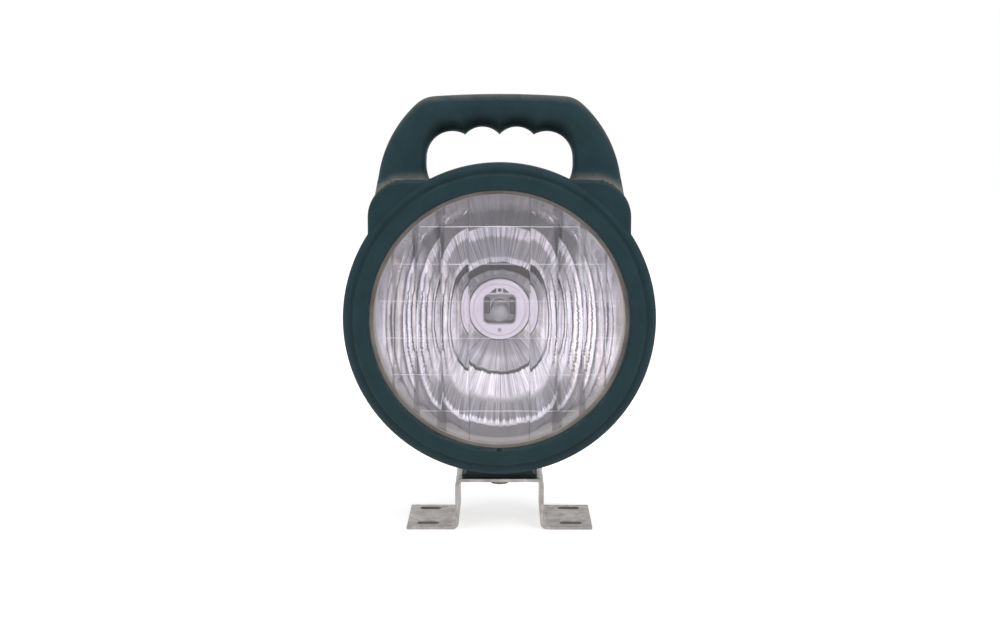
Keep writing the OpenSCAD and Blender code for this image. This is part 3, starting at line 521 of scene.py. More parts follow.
rubberLook = dict(
    gloss=0.3, patch=70.0, contrast=0.12, grain=1900.0, pits=0.5, bump=0.25, deep=0.0002, rough=(0.66, 0.52),
    dustAndLight=0.12, dustLightScale=130.0, dustRough=0.2, dustLightColour=(0.16, 0.15, 0.12, 1), under=0.7,
    rubAndHighlight=0.25, rubHighlightScale=160.0, rubHighlightColour=(0.055, 0.075, 0.075, 1), root=0.0, rootColour=(0.3, 0.275, 0.235, 1))
bezelRubber = makeRubber("bezelRubber", dict(
    rubberLook, colour=(0.0055, 0.0285, 0.0365), rubHighlightColour=(0.06, 0.085, 0.088, 1), rubAndHighlight=0.4))
handleRubber = makeRubber("handleRubber", dict(
    rubberLook, colour=(0.0085, 0.034, 0.043), dustAndLight=0.8, under=0.3, root=0.7))
caseRubber = makeRubber("caseRubber", dict(rubberLook, colour=(0.0075, 0.0275, 0.033)))
sealRubber = makeRubber("sealRubber", dict(
    rubberLook, colour=(0.29, 0.26, 0.235), contrast=0.25, dustAndLight=0.8, dustLightColour=(0.66, 0.6, 0.54, 1),
    rubHighlightColour=(0.36, 0.32, 0.28, 1)))
glandNylon = makeRubber("glandNylon", dict(
    rubberLook, colour=(0.014, 0.015, 0.016), gloss=0.5, rough=(0.45, 0.36), bump=0.1))
blackRubber = makeRubber("blackRubber", dict(rubberLook, colour=(0.012, 0.012, 0.012)))
paleGlass = makeRubber("paleGlass", dict(
    rubberLook, colour=(0.75, 0.72, 0.76), gloss=0.5, rough=(0.35, 0.3), dustAndLight=0.0, rubAndHighlight=0.0, bump=0.05))
leadCover = makeRubber("leadCover", dict(
    rubberLook, colour=(0.02, 0.07, 0.32), gloss=0.5, rough=(0.4, 0.3), bump=0.05))

metalLook = dict(metal=1.0, scale=900.0, patch=90.0, contrast=0.16, rough=(0.5, 0.36), bump=0.2, deep=0.0001,
                 rubAndHighlight=0.3, rubHighlightScale=220.0, rubHighlightColour=(0.62, 0.61, 0.6, 1))
galvanised = makeMetal("galvanisedSteel", dict(
    metalLook, colour=(0.335, 0.313, 0.297), scale=260.0, contrast=0.22))
zincSteel = makeMetal("zincSteel", dict(metalLook, colour=(0.5, 0.5, 0.48), rough=(0.42, 0.28), bump=0.1))
# darker zinc for the bolt and the washer under the plate: dirt and painted shade
boltSteel = makeMetal("boltSteel", dict(
    metalLook, colour=(0.13, 0.122, 0.116), rough=(0.5, 0.4), bump=0.12, rubHighlightColour=(0.3, 0.29, 0.28, 1)))
springSteel = makeMetal("springSteel", dict(
    metalLook, colour=(0.32, 0.31, 0.31), rough=(0.4, 0.3), bump=0.08))
# dark steel for the holder's rim ring and clip; the ring and the clip's triangles are painted shadow
darkSteel = makeMetal("darkSteel", dict(metalLook, metal=0.6, colour=(0.1, 0.1, 0.11), bump=0.05, rubAndHighlight=0.0))
brassMetal = makeMetal("brassMetal", dict(
    metalLook, colour=(0.62, 0.45, 0.2), rubHighlightColour=(0.8, 0.65, 0.35, 1)))
nickelMetal = makeMetal("nickelMetal", dict(
    metalLook, colour=(0.6, 0.57, 0.52), contrast=0.08, rough=(0.3, 0.16), bump=0.04))
# dark steel for the slots' walls: painted shade
slotShadeSteel = makeMetal("slotShadeSteel", dict(metalLook, metal=0.6, colour=(0.17, 0.158, 0.15), rubAndHighlight=0.0))
# darker steel for the well's sheet: painted shade
wellShadeSteel = makeMetal("wellShadeSteel", dict(metalLook, metal=0.5, colour=(0.4, 0.365, 0.4), bump=0.05, rubAndHighlight=0.0))
tungsten = makeMetal("tungstenWire", dict(
    metalLook, colour=(0.25, 0.25, 0.27), scale=1500.0, rough=(0.5, 0.4)))
brightSteel = makeMetal("brightSteel", dict(
    metalLook, metal=0.45, colour=(0.66, 0.61, 0.69), scale=700.0, contrast=0.05, rough=(0.4, 0.3), bump=0.03,
    rubHighlightColour=(0.78, 0.74, 0.8, 1)))

# painted reflections: rings as (radius in mm, tone); calm ranges as (from, to, share of the ragged edge or
# streak at the calm end)
mirrorLook = dict(
    colour=(0.945, 0.92, 0.985, 1), warmColour=(0.95, 0.875, 0.83, 1), warmScale=0.5, metal=0.22, rough=0.18,
    mouth=70.0, drop=6.9, fine=42.0, fineLong=40.0, broad=7.0, broadLong=14.0, teeth=2.8, lowTeeth=2.2,
    wander=1.2, teethIn=(33.0, 42.0, 0.15), teethOut=(49.0, 53.0, 0.25), streak=0.46,
    streakOut=(53.0, 57.0, 0.35), cloud=0.2,
    sideTurn=(0.68, 0.96), sideWide=4.0, sideLong=70.0, side=0.42, glare=0.35, glareX=(18.0, 45.0),
    bump=0.3, deep=0.0003, rimIn=-20.5, rimOut=-23.0, rimColour=(0.36, 0.34, 0.325, 1), rimMetal=0.1,
    rimRough=0.5,
    topRings=[(0, 0.45), (20.5, 0.4), (21.0, 0.08), (22.0, 0.08), (22.6, 0.45), (27.0, 0.5), (27.6, 0.06),
              (31.6, 0.08), (32.2, 1.0), (34.6, 1.0), (35.6, 0.5), (46.5, 0.46), (48.5, 1.0), (53.6, 1.0),
              (54.4, 0.2), (63, 0.18), (69, 0.42)],
    lowRings=[(0, 0.5), (28.2, 0.5), (28.6, 0.05), (29.8, 0.05), (30.4, 1.0), (41, 1.0), (43.5, 0.4),
              (52, 0.34), (53, 1.0), (54.6, 0.95), (55.4, 0.2), (63, 0.2), (69, 0.42)],
    sideRings=[(0, 0.95), (29.4, 0.95), (30.0, 0.04), (31.0, 0.04), (31.5, 1.0), (33.2, 1.0), (33.7, 0.15),
               (34.6, 0.15), (35.2, 0.9), (40.6, 0.85), (41.2, 0.1), (42.6, 0.1), (43.2, 1.0), (47.6, 1.0),
               (48.2, 0.2), (50, 0.2), (50.6, 1.0), (53.6, 1.0), (54.2, 0.12), (55.8, 0.2), (58, 0.7),
               (62, 0.8), (62.6, 0.3), (63.6, 0.3), (64.2, 0.8), (69, 0.5)])


def makeMirror(v):
    # partly matt mirror coat with painted reflections: rings round a point below the lens axis with ragged
    # edges, a dull rim at the mouth
    mat, tree, sockets = newSurface("mirrorCoat")
    at = parts(tree, addNode(tree, "TexCoord").outputs["Object"])
    x = product(tree, at["X"], 1000.0)
    z = calc(tree, "MULTIPLY_ADD", at["Z"], 1000.0, v["drop"] - axisZ)
    far = far2d(tree, x, z)
    turnX, turnZ = calc(tree, "DIVIDE", x, far), calc(tree, "DIVIDE", z, far)

    def rays(count, length):
        # noise drawn out from the axis: count of rays and length of a ray in mm
        around = product(tree, turnX, count), product(tree, turnZ, count)
        return noise(tree, joinVector(tree, *around, calc(tree, "DIVIDE", far, length)), 1.0, 3.0, 0.6)

    def ringTones(name):
        # tone against radius, one stop for each ring's edge
        ramp = addNode(tree, "ValToRGB")
        put(tree, ramp.inputs[0], calc(tree, "DIVIDE", ragged, v["mouth"]))
        stops = ramp.color_ramp.elements
        while len(stops) < len(v[name]):
            stops.new(1.0)
        for stop, (r, tone) in zip(stops, v[name]):
            stop.position, stop.color = r / v["mouth"], (tone, tone, tone, 1)
        return ramp.outputs[0]

    def calmIn(low, high, share):
        return mapTo(tree, far, low, high, share, 1.0)

    def calmOut(low, high, share):
        return mapTo(tree, far, low, high, 1.0, share)

    fine, broad = rays(v["fine"], v["fineLong"]), rays(v["broad"], v["broadLong"])
    across = calc(tree, "DIVIDE", x, v["sideWide"]), 0.0, calc(tree, "DIVIDE", z, v["sideLong"])
    strips = joinVector(tree, *across)
    upright = noise(tree, strips, 1.0, 2.5, 0.6)
    warmth = noise(tree, strips, v["warmScale"], 1.0, 0.5)
    atSide = mapTo(tree, calc(tree, "ABSOLUTE", turnX), *v["sideTurn"], 0.0, 1.0)
    shift = calc(tree, "MULTIPLY_ADD", fine, 2 * v["teeth"], -v["teeth"])
    shift = product(tree, shift, mapTo(tree, turnZ, -0.9, -0.2, v["lowTeeth"], 1.0))
    shift = product(tree, shift, calmIn(*v["teethIn"]), calmOut(*v["teethOut"]))
    wander = calc(tree, "MULTIPLY_ADD", broad, 2 * v["wander"], -v["wander"])
    ragged = calc(tree, "ADD", calc(tree, "ADD", far, shift), wander)
    # painted reflections: ring tones differ above, below and at the sides
    above = mapTo(tree, turnZ, -0.15, 0.15, 0.0, 1.0)
    tone = mixColour(tree, above, ringTones("lowRings"), ringTones("topRings"))
    tone = mixColour(tree, atSide, tone, ringTones("sideRings"))
    # painted reflections: streaks along the rays and upright streaks at the sides
    streak = mapTo(tree, fine, 0.36, 0.64, -v["streak"], 0.7 * v["streak"])
    streak = calc(tree, "MULTIPLY_ADD", streak, calmOut(*v["streakOut"]), 1.0)
    sides = mapTo(tree, upright, 0.35, 0.65, 1 - v["side"], 1 + v["side"])
    # painted glint: lighter towards the right side
    sides = product(tree, sides, mapTo(tree, x, *v["glareX"], 1.0, 1 + v["glare"]))
    between = addNode(tree, "Mix")
    for k, given in ((0, atSide), (2, streak), (3, sides)):
        put(tree, between.inputs[k], given)
    cloud = mapTo(tree, broad, 0.3, 0.7, 1 - v["cloud"], 1 + v["cloud"])
    rim = mapTo(tree, product(tree, at["Y"], 1000.0), v["rimIn"], v["rimOut"], 0.0, 1.0)
    warm = product(tree, mapTo(tree, warmth, 0.48, 0.6, 0.0, 0.8), mapTo(tree, atSide, 0.0, 1.0, 0.3, 1.0))
    coat = mixColour(tree, warm, v["colour"], v["warmColour"])
    for factor in (tone, between.outputs[0], cloud):
        coat = scaled(tree, coat, factor)
    put(tree, sockets["Base Color"], mixColour(tree, rim, coat, v["rimColour"]))
    put(tree, sockets["Metallic"], mapTo(tree, rim, 0.0, 1.0, v["metal"], v["rimMetal"]))
    put(tree, sockets["Roughness"], mapTo(tree, rim, 0.0, 1.0, v["rough"], v["rimRough"]))
    addBump(tree, sockets, calc(tree, "ADD", fine, broad), v["bump"], v["deep"])
    return mat


# painted shade: wedges as (edge of a flute, half width low and high) in mm: a darker tone, wider away from
# the axis
glassLook = dict(colour=(0.97, 0.97, 0.98), rough=0.0, patch=90.0, contrast=0.02, grain=600.0, pits=1.0,
                 bump=0.3, deep=0.000005, clear=1.0, wedges=(), wedge=0.36, wedgeUp=(14.0, 52.0),
                 wedgeSoft=(-0.4, 0.2))


def makeGlass(name, v):
    mat, tree, sockets = newSurface(name, Roughness=v["rough"], IOR=1.5, Transmission_Weight=v["clear"])
    tone = useGroup(tree, patchTone, Scale=v["patch"], Contrast=v["contrast"])["Tone"]
    # painted shade: darker wedges along the flutes' edges
    if v["wedges"]:
        at = parts(tree, addNode(tree, "TexCoord").outputs["Object"])
        out = calc(tree, "ABSOLUTE", product(tree, at["X"], 1000.0))
        up = calc(tree, "ABSOLUTE", calc(tree, "MULTIPLY_ADD", at["Z"], 1000.0, -axisZ))
        dark = 0.0
        for edge, low, high in v["wedges"]:
            near = calc(tree, "ABSOLUTE", calc(tree, "SUBTRACT", out, edge))
            near = calc(tree, "SUBTRACT", near, mapTo(tree, up, *v["wedgeUp"], low, high))
            dark = calc(tree, "MAXIMUM", dark, mapTo(tree, near, *v["wedgeSoft"], v["wedge"], 0.0))
        tone = product(tree, tone, calc(tree, "SUBTRACT", 1.0, dark))
    put(tree, sockets["Base Color"], scaled(tree, v["colour"], tone))
    grain = useGroup(tree, fineGrain, Scale=v["grain"], Pits=v["pits"])["Height"]
    addBump(tree, sockets, grain, v["bump"], v["deep"])
    return mat


mirrorCoat = makeMirror(mirrorLook)
lensGlass = makeGlass("lensGlass", dict(
    glassLook, colour=(0.975, 0.96, 0.99), patch=40.0, grain=500.0,
    wedges=((16.7, 0.1, 0.3), (32.0, 0.15, 2.8), (45.9, 0.15, 2.0), (58.4, 0.15, 1.4))))
bulbGlass = makeGlass("bulbGlass", dict(glassLook, colour=(0.62, 0.6, 0.64), rough=0.12, clear=0.65))

# camera, floor and light
view = dict(distance=0.9, up=7.84, side=0.2, lens=58.96, sensor=36, shiftX=0.0006, shiftY=0.0073,
            aimY=-0.034, aimZ=0.121)
stage = dict(worldFill=0.5, floorGlow=0.62, floorColour=(0.8, 0.8, 0.8, 1), floorRough=0.9,
             lamps=[("keyLamp", (0.75, -0.95, 1.25), 0.8, 7.0),
                    ("topLamp", (0.0, 0.15, 1.5), 1.1, 7.0),
                    ("fillLamp", (-1.1, -0.9, 0.6), 0.9, 3.0)],
             # cards as (place, width, height, glow, seen in gloss too): no camera or matt surface sees them
             cards=[((0.32, -1.4, 0.45), 0.05, 1.1, 4.0, True), ((1.25, -0.8, 0.4), 1.0, 1.5, 8.4, False),
                    ((-1.25, -0.8, 0.4), 1.0, 1.5, 7.6, False), ((0, -0.9, 1.4), 1.6, 0.8, 7.6, False)])


def aim(ob, target):
    ob.rotation_euler = (Vector(target) - ob.location).to_track_quat("-Z", "Y").to_euler()


def whiteRays(tree):
    path = addNode(tree, "LightPath").outputs
    seen = calc(tree, "MAXIMUM", path["Is Camera Ray"], path["Is Glossy Ray"])
    return calc(tree, "MAXIMUM", seen, path["Is Transmission Ray"])


def makeStage(v):
    white, black = (1, 1, 1, 1), (0, 0, 0, 1)
    aimAt = Vector((0, view["aimY"], view["aimZ"]))
    up, side = math.radians(view["up"]), math.radians(view["side"])
    back = Vector((math.sin(side) * math.cos(up), -math.cos(side) * math.cos(up), math.sin(up)))
    cam = bpy.data.objects.new("camera", bpy.data.cameras.new("camera"))
    cam.data.lens, cam.data.sensor_width = view["lens"], view["sensor"]
    cam.data.shift_x, cam.data.shift_y = view["shiftX"], view["shiftY"]
    cam.location = aimAt + back * view["distance"]
    aim(cam, aimAt)
    scene.collection.objects.link(cam)
    scene.camera = cam
    for name, place, size, power in v["lamps"]:
        light = bpy.data.lights.new(name, "AREA")
        light.size, light.energy = size, power
        ob = bpy.data.objects.new(name, light)
        ob.location = place
        ob.visible_glossy = ob.visible_transmission = False
        aim(ob, aimAt)
        scene.collection.objects.link(ob)
    for place, wide, high, glow, glossy in v["cards"]:
        corners = [(500 * wide * x, 500 * high * y, 0) for x, y in ((-1, -1), (1, -1), (1, 1), (-1, 1))]
        card = solid("card", (corners, [(0, 1, 2, 3)]))
        card.location = place
        aim(card, aimAt)
        mat = newSurface("cardGlow", Base_Color=black, Specular_IOR_Level=0.0, Emission_Color=white,
                         Emission_Strength=glow)[0]
        card.data.materials.append(mat)
        card.visible_camera = card.visible_diffuse = card.visible_shadow = False
        card.visible_glossy = glossy

    world = bpy.data.worlds.new("studio")
    scene.world = world
    world.use_nodes = True
    tree = world.node_tree
    sky = tree.nodes["Background"].inputs
    sky["Color"].default_value = white
    put(tree, sky["Strength"], mapTo(tree, whiteRays(tree), 0.0, 1.0, v["worldFill"], 1.0))

    floor = solid("floor", spin([(0, 0), (300, 0), (3000, 0)], onZ(), 64, closed=False))
    mat, tree, sockets = newSurface("floorPaint", Base_Color=v["floorColour"], Roughness=v["floorRough"],
                                    Specular_IOR_Level=0.0, Emission_Color=white)
    put(tree, sockets["Emission Strength"], product(tree, whiteRays(tree), v["floorGlow"]))
    floor.data.materials.append(mat)


makeStage(stage)
print("stage and finishes made")


def cornerReach(s, c, w, h, r):
    # how far a box with rounded corners reaches in the direction (s, c)
    t = min(w / max(s, 1e-6), h / max(c, 1e-6))
    u, v = w - r, h - r
    if t * s > u and t * c > v:
        b = s * u + c * v
        t = b + math.sqrt(max(0.0, b * b - u * u - v * v + r * r))
    return t


def earReach(a):
    s, c = abs(math.sin(a)), math.cos(a)
    return 0.0 if min(s, c) < 0.05 else cornerReach(s, c, ear["x"], ear["z"], ear["corner"])


def earTurns(reach, n=360):
    # even turns, with those at the ends of the ears' straight sides put in
    x, z, corner = ear["x"], ear["z"], ear["corner"]
    exact = [math.asin(x / reach), math.acos(z / reach), math.atan2(x, z - corner), math.atan2(x - corner, z)]
    found = [2 * math.pi * k / n for k in range(n)]
    for a in exact + [2 * math.pi - a for a in exact]:
        found = [f for f in found if abs(f - a) > 0.004] + [a]
    return sorted(found)


bezel = dict(
    lipR=71.3, lipFront=-43.2, lipRound=2.0, seat=-36.0, seatRound=0.2, bandR=79.6, bandFront=-42.3,
    bandRound=0.7, grooveR=80.4, grooveLift=0.15, grooveFillet=1.5, beadR=82.0, beadY=-34.9, bead=4.0,
    outer=86.0, skirt=85.7, back=-24.0, edge=0.4, earFront=-37.2, bore=75.5, spigot=80.2, step=-29.3,
    notch=1.3, notchDeep=1.1, notchBack=2.5, notchRound=0.5)


def makeBezel(v):
    endA = 360 - math.degrees(math.asin((v["beadY"] - v["earFront"]) / v["bead"]))
    endR = v["beadR"] + v["bead"] * math.cos(math.radians(endA))
    beadFront = v["beadY"] - v["bead"]
    lip = soften([
        (v["bore"], v["seat"], 0), (v["lipR"], v["seat"], v["seatRound"]),
        (v["lipR"], v["lipFront"], v["lipRound"]), (v["bandR"], v["bandFront"], v["bandRound"]),
        (v["grooveR"], beadFront + v["grooveLift"], v["grooveFillet"]), (v["beadR"], beadFront, 0),
    ], closed=False, step=8)
    bead = arc(v["beadR"], v["beadY"], v["bead"], 270, endA, 10, 1)
    bends = quarter(15)

    def profile(a):
        grow = max(0.0, earReach(a) - v["outer"])
        tip = v["outer"] + grow
        r = min(ear["round"], v["outer"] - endR + grow)
        rim = [(tip - r * (1 - math.sin(t)), v["earFront"] + ear["round"] * (1 - math.cos(t))) for t in bends]
        end = tip - (v["outer"] - v["skirt"])
        return lip + bead + rim + [
            (end, v["back"] - v["edge"]), (end - v["edge"], v["back"]), (v["spigot"], v["back"]),
            (v["spigot"], v["step"]), (v["bore"], v["step"]),
        ]

    ob = solid("bezelRing", spin(profile, onY(), earTurns(v["outer"])))
    low = axisZ - v["lipR"]
    notch = softBox((-v["notch"], v["lipFront"] - 3, low - v["notchDeep"]),
                    (v["notch"], v["seat"] - v["notchBack"], low + 3), v["notchRound"])
    carve(ob, "DIFFERENCE", solid("notch", notch))
    dress(ob, bezelRubber, "bezel_rubber", "front_bezel")


makeBezel(bezel)
print("bezel made")

# heights from the lens axis; lowZ are the stations of a leg's root, just past the top of the ear
handle = dict(
    front=-24.0, depth=28.0, footDepth=13.0, flare=26.0, rootBack=-16.0, topZ=123.0, cuspZ=100.6, pitch=19.0,
    fingerR=12.6, fade=30.0, cornerR=14.4, cornerRise=1.9, crownR=530.0, crownA=3.88, shoulderR=16.0,
    shoulderA=42.0, legR=66.5, legA=80.0, edge=5.0, hollow=10.8, hollowDeep=12.6, legHollow=0.35,
    hollowSteps=18, flareOut=3.5, flareRun=6.0, flareIn=3.0, rootIn=1.75, rootRun=9.0, sink=0.05, crown=0.5,
    crownRise=0.03, collarIn=80.2, collar=85.5, collarEdge=0.4, rises=8, cornerSteps=26, across=8,
    lowZ=(63.5, 65.0, 66.5, 68.0, 69.5, 71.0, 72.2, 73.3, 74.3, 75.2, 75.7, 76.15, 76.55))


def runsOf(points):
    # length of a line up to each of its points
    runs = [0.0]
    for a, b in zip(points, points[1:]):
        runs.append(runs[-1] + (Vector(b) - Vector(a)).length)
    return runs


def along(points, shares):
    # points at given shares of a line's length
    runs = runsOf(points)
    out, i = [], 0
    for s in shares:
        want = s * runs[-1]
        while i < len(runs) - 2 and runs[i + 1] < want:
            i += 1
        t = (want - runs[i]) / max(runs[i + 1] - runs[i], 1e-9)
        out.append(tuple(Vector(points[i]).lerp(Vector(points[i + 1]), t)))
    return out


def handleOuter(v, d):
    # right half of the outer line from the root up to the middle, drawn in by d
    crown = Vector((0, v["topZ"] - v["crownR"]))
    ca, sa, la = [math.radians(v[k]) for k in ("crownA", "shoulderA", "legA")]
    crownEnd = crown + v["crownR"] * Vector((math.sin(ca), math.cos(ca)))
    should = crownEnd - v["shoulderR"] * Vector((math.sin(ca), math.cos(ca)))
    leg = should + (v["shoulderR"] - v["legR"]) * Vector((math.sin(sa), math.cos(sa)))
    end = leg + (v["legR"] - d) * Vector((math.sin(la), math.cos(la)))
    line = arc(*crown, v["crownR"] - d, 90, 90 - v["crownA"], 12)
    line += arc(*should, v["shoulderR"] - d, 90 - v["crownA"], 90 - v["shoulderA"], 12, 1)
    line += arc(*leg, v["legR"] - d, 90 - v["shoulderA"], 90 - v["legA"], 20, 1)
    for z in v["lowZ"][::-1]:
        line.append((end.x + (end.y - z) / math.tan(la), z))
    return line[::-1]


def hollowShare(v, k):
    # how much of the hollow's rounding is left k steps up from the leg
    return v["legHollow"] + (1 - v["legHollow"]) * smooth(k / v["hollowSteps"])


def earGap(x, z):
    # how far a point stands out of the ear's outline
    u, w = abs(x) - ear["x"] + ear["corner"], z - ear["z"] + ear["corner"]
    return math.hypot(max(u, 0.0), max(w, 0.0)) + min(max(u, w), 0.0) - ear["corner"]


def legFlare(v, p):
    # how far a leg comes forward where it meets the ear
    gap = earGap(*p)
    if gap < 0:
        return v["flareOut"] * max(0.0, 1 + gap / v["flareIn"])
    return v["flareOut"] * max(0.0, 1 - gap / v["flareRun"]) ** 2


def legDepth(v, z):
    if z < ear["z"]:
        return v["rootBack"] - v["front"] - v["sink"]
    return v["footDepth"] + (v["depth"] - v["footDepth"]) * smooth((z - ear["z"]) / v["flare"])


def handleInner(v, d):
    # right half of the finger loop's line from the root up to the middle, drawn in by d
    drop = v["cornerR"] - v["cornerRise"]
    cc = Vector((v["pitch"] + math.sqrt(v["cornerR"] ** 2 - drop ** 2), v["cuspZ"] - drop))
    base = v["cuspZ"] - math.sqrt(v["fingerR"] ** 2 - v["pitch"] ** 2 / 4)
    rc, rf = v["cornerR"] + d, v["fingerR"] + d + v["fade"] * (d / v["hollow"]) ** 2
    fc = Vector((v["pitch"] / 2, base + v["fingerR"] + d - rf))
    gap = fc - cc
    a = (gap.length_squared + rc * rc - rf * rf) / (2 * gap.length)
    u = gap.normalized()
    cusp = cc + u * a + Vector((u.y, -u.x)) * math.sqrt(max(rc * rc - a * a, 0.0))
    legX = cc.x + v["cornerR"] + d * v["legHollow"]
    clear = v["collarIn"] + 1 + d * v["legHollow"]

    def wall(z):
        # the leg's inner side, which comes in a little at the root
        x = legX - v["rootIn"] * max(0.0, 1 - max(0.0, z - ear["z"]) / v["rootRun"]) ** 2
        return (max(x, math.sqrt(clear ** 2 - z * z)) if z < ear["z"] else x), z

    rises = [ear["z"] + (cc.y - ear["z"]) * k / v["rises"] for k in range(1, v["rises"])]
    line = [wall(z) for z in [*v["lowZ"], *rises]]
    cuspA, n = math.degrees(math.atan2(cusp.y - cc.y, cusp.x - cc.x)), v["cornerSteps"]
    for k in range(n + 1):
        t, r = math.radians(cuspA * k / n), v["cornerR"] + d * hollowShare(v, k)
        line.append((cc.x + r * math.cos(t), cc.y + r * math.sin(t)))
    from0 = math.degrees(math.atan2(cusp.y - fc.y, cusp.x - fc.x))
    to0 = math.degrees(math.acos(-fc.x / rf))
    return line + arc(*fc, rf, from0, to0, n, 1)


def makeHandle(v):
    bends = quarter(10)
    inner0 = handleInner(v, 0)
    runs = runsOf(inner0)
    shares = [r / runs[-1] for r in runs]
    low = len(v["lowZ"])
    # below the ear both lines keep their own stations, above it they share the length
    start = shares[low - 1]
    up = [(s - start) / (1 - start) for s in shares[low - 1:]]
    outers, inners = [], []
    for t in bends:
        line = handleOuter(v, v["edge"] * (1 - math.cos(t)))
        outers.append(line[:low - 1] + along(line[low - 1:], up))
        inners.append(handleInner(v, v["hollow"] * (1 - math.cos(t))))
    outerRun, innerRun = list(zip(outers, bends)), list(zip(inners, bends))
    across = [k / v["across"] for k in range(1, v["across"])]
    rings, n = [], len(inner0)
    stations = [(i, 1) for i in range(n)] + [(i, -1) for i in range(n - 2, -1, -1)]
    for i, side in stations:
        ring = []
        faceOut, faceIn = outers[-1][i], inners[-1][i]
        crown, front = min(v["crown"], v["crownRise"] * math.dist(faceOut, faceIn)), v["front"]
        if i < low - 2:  # sunk in the collar
            crown, front = 0.0, front + v["sink"]
        hollow = v["hollowDeep"] * hollowShare(v, i - low - v["rises"] + 1)

        def point(p, y):
            ring.append((side * p[0], y, axisZ + p[1]))

        def between(f):
            return faceOut[0] + (faceIn[0] - faceOut[0]) * f, faceOut[1] + (faceIn[1] - faceOut[1]) * f

        def roundY(p, size, t, back):
            deep = legDepth(v, outers[0][i][1] if i < low else p[1])
            lift = min(size, 0.45 * deep) * (1 - math.sin(t))
            return v["front"] + deep - lift if back else front + lift - legFlare(v, p)

        for line, t in outerRun:
            point(line[i], roundY(line[i], v["edge"], t, False))
        for f in across:
            p = between(f)
            point(p, front - crown * 4 * f * (1 - f) - legFlare(v, p))
        for line, t in innerRun[::-1]:
            point(line[i], roundY(line[i], hollow, t, False))
        for line, t in innerRun:
            point(line[i], roundY(line[i], hollow, t, True))
        for f in across[::-1]:
            p = between(f)
            point(p, roundY(p, 0, 0, True) + (crown * 4 * f * (1 - f) if i >= low else 0))
        for line, t in outerRun[::-1]:
            point(line[i], roundY(line[i], v["edge"], t, True))
        rings.append(ring)
    arch = solid("carryHandle", loft(rings))

    def root(a):
        r, e = max(v["collar"], earReach(a)), v["collarEdge"]
        f, b = v["front"], v["rootBack"]
        return [(v["collarIn"], f), (r - e, f), (r, f + e), (r, b - e), (r - e, b), (v["collarIn"], b)]

    carve(arch, "UNION", solid("collar", spin(root, onY(), earTurns(v["collar"]))))
    dress(arch, handleRubber, "handle_rubber", "carry_handle")


makeHandle(handle)
print("handle made")

housing = dict(
    front=-29.1, inner=76.0, spigot=80.0, flange=85.5, flangeFront=-16.0, flangeBack=-11.0, edge=0.4,
    fillet=1.6, bowl=81.0, back=36.0, backY=72.36, recess=30.0, recessRound=2.0, panelY=62.36,
    panelFillet=1.2, panelRings=(26.0, 13.0), wall=4.0, backEdge=1.0, backRound=0.3)
foot = dict(pad=21.3, padY=22.0, padTop=30.8, block=18.9, toeTop=35.1, blockFront=-16.0, z0=29.4, edge=0.3,
            corner=2.0, blockLift=2.5, blockIn=2.0, blockGrow=3.0, growFrom=0.45, growBend=2.2,
            toeEdge=0.5, blockSteps=12)


def bowlPoint(v, t, inset=0.0):
    deep = v["backY"] - v["flangeBack"]
    return v["back"] + (v["bowl"] - v["back"]) * math.cos(t) - inset, v["flangeBack"] + deep * math.sin(t)


def makeHousing(v, f):
    turns = [math.radians(90 * k / 40) for k in range(41)]
    outside = [bowlPoint(v, t) for t in turns[2:]]
    fillet = arc(outside[0][0] + v["fillet"], outside[0][1], v["fillet"], 270, 180, 5)
    panel = [(r, v["panelY"], 0) for r in (*v["panelRings"], 0)]
    tail = soften([(v["back"], v["backY"], 0), (v["recess"], v["backY"], v["recessRound"]),
                   (v["recess"], v["panelY"], v["panelFillet"])] + panel, closed=False)[1:]
    deep = v["panelY"] - v["wall"]
    inside = [(0, deep)] + [p for p in (bowlPoint(v, t, v["wall"]) for t in turns[::-2]) if p[1] < deep - 1]

    def profile(a):
        r, front, back = max(v["flange"], earReach(a)), v["flangeFront"], v["flangeBack"]
        flange = [
            (v["spigot"], v["front"]), (v["spigot"], front), (r - v["edge"], front), (r, front + v["edge"]),
            (r, back - v["backEdge"]), (r - v["backRound"], back - v["backRound"]), (r - v["backEdge"], back),
        ]
        return flange + fillet + outside[1:] + tail + inside + [(v["inner"], back), (v["inner"], v["front"])]

    body = solid("rearHousing", spin(profile, onY(), earTurns(v["flange"])))

    def bowlZ(x, y):
        r = v["bowl"]
        if y >= v["flangeBack"] + 1:
            r = bowlPoint(v, math.asin((y - v["flangeBack"]) / (v["backY"] - v["flangeBack"])))[0]
        return axisZ - math.sqrt(r * r - x * x)

    step, e = f["pad"] - f["block"], f["edge"]
    levels = [(e, f["z0"]), (0, f["z0"] + e), (0, f["padTop"] - e), (e, f["padTop"])]
    for t in quarter(15)[1:]:
        levels.append((step - (step - e) * (1 - math.sin(t)), f["padTop"] + step * (1 - math.cos(t))))
    levels += [(step, f["toeTop"] - f["toeEdge"]), (step + f["toeEdge"], f["toeTop"])]
    rings = []
    for inset, z in levels:
        x, y = f["pad"] - inset, f["padY"] - min(inset, e)
        rings.append([(px, py, z) for px, py in roundRect(-x, x, -y, y, f["corner"])])
    pad = solid("pad", loft(rings))
    rings, base = [], f["padTop"] + f["blockLift"]
    for k in range(f["blockSteps"] + 1):
        s = k / f["blockSteps"]
        grow = f["blockGrow"] * max(0.0, (s - f["growFrom"]) / (1 - f["growFrom"])) ** f["growBend"]
        x, back = f["block"] + grow, f["padY"] - e + grow
        ring = roundRect(-x, x, f["blockFront"], back, f["corner"] + grow)
        rings.append([(px, py, base + (bowlZ(px, py) + f["blockIn"] - base) * s) for px, py in ring])
    block = solid("block", loft(rings))
    carve(body, "UNION", pad, block)
    dress(body, caseRubber, "case_rubber", "rear_housing")


makeHousing(housing, foot)
print("housing made")

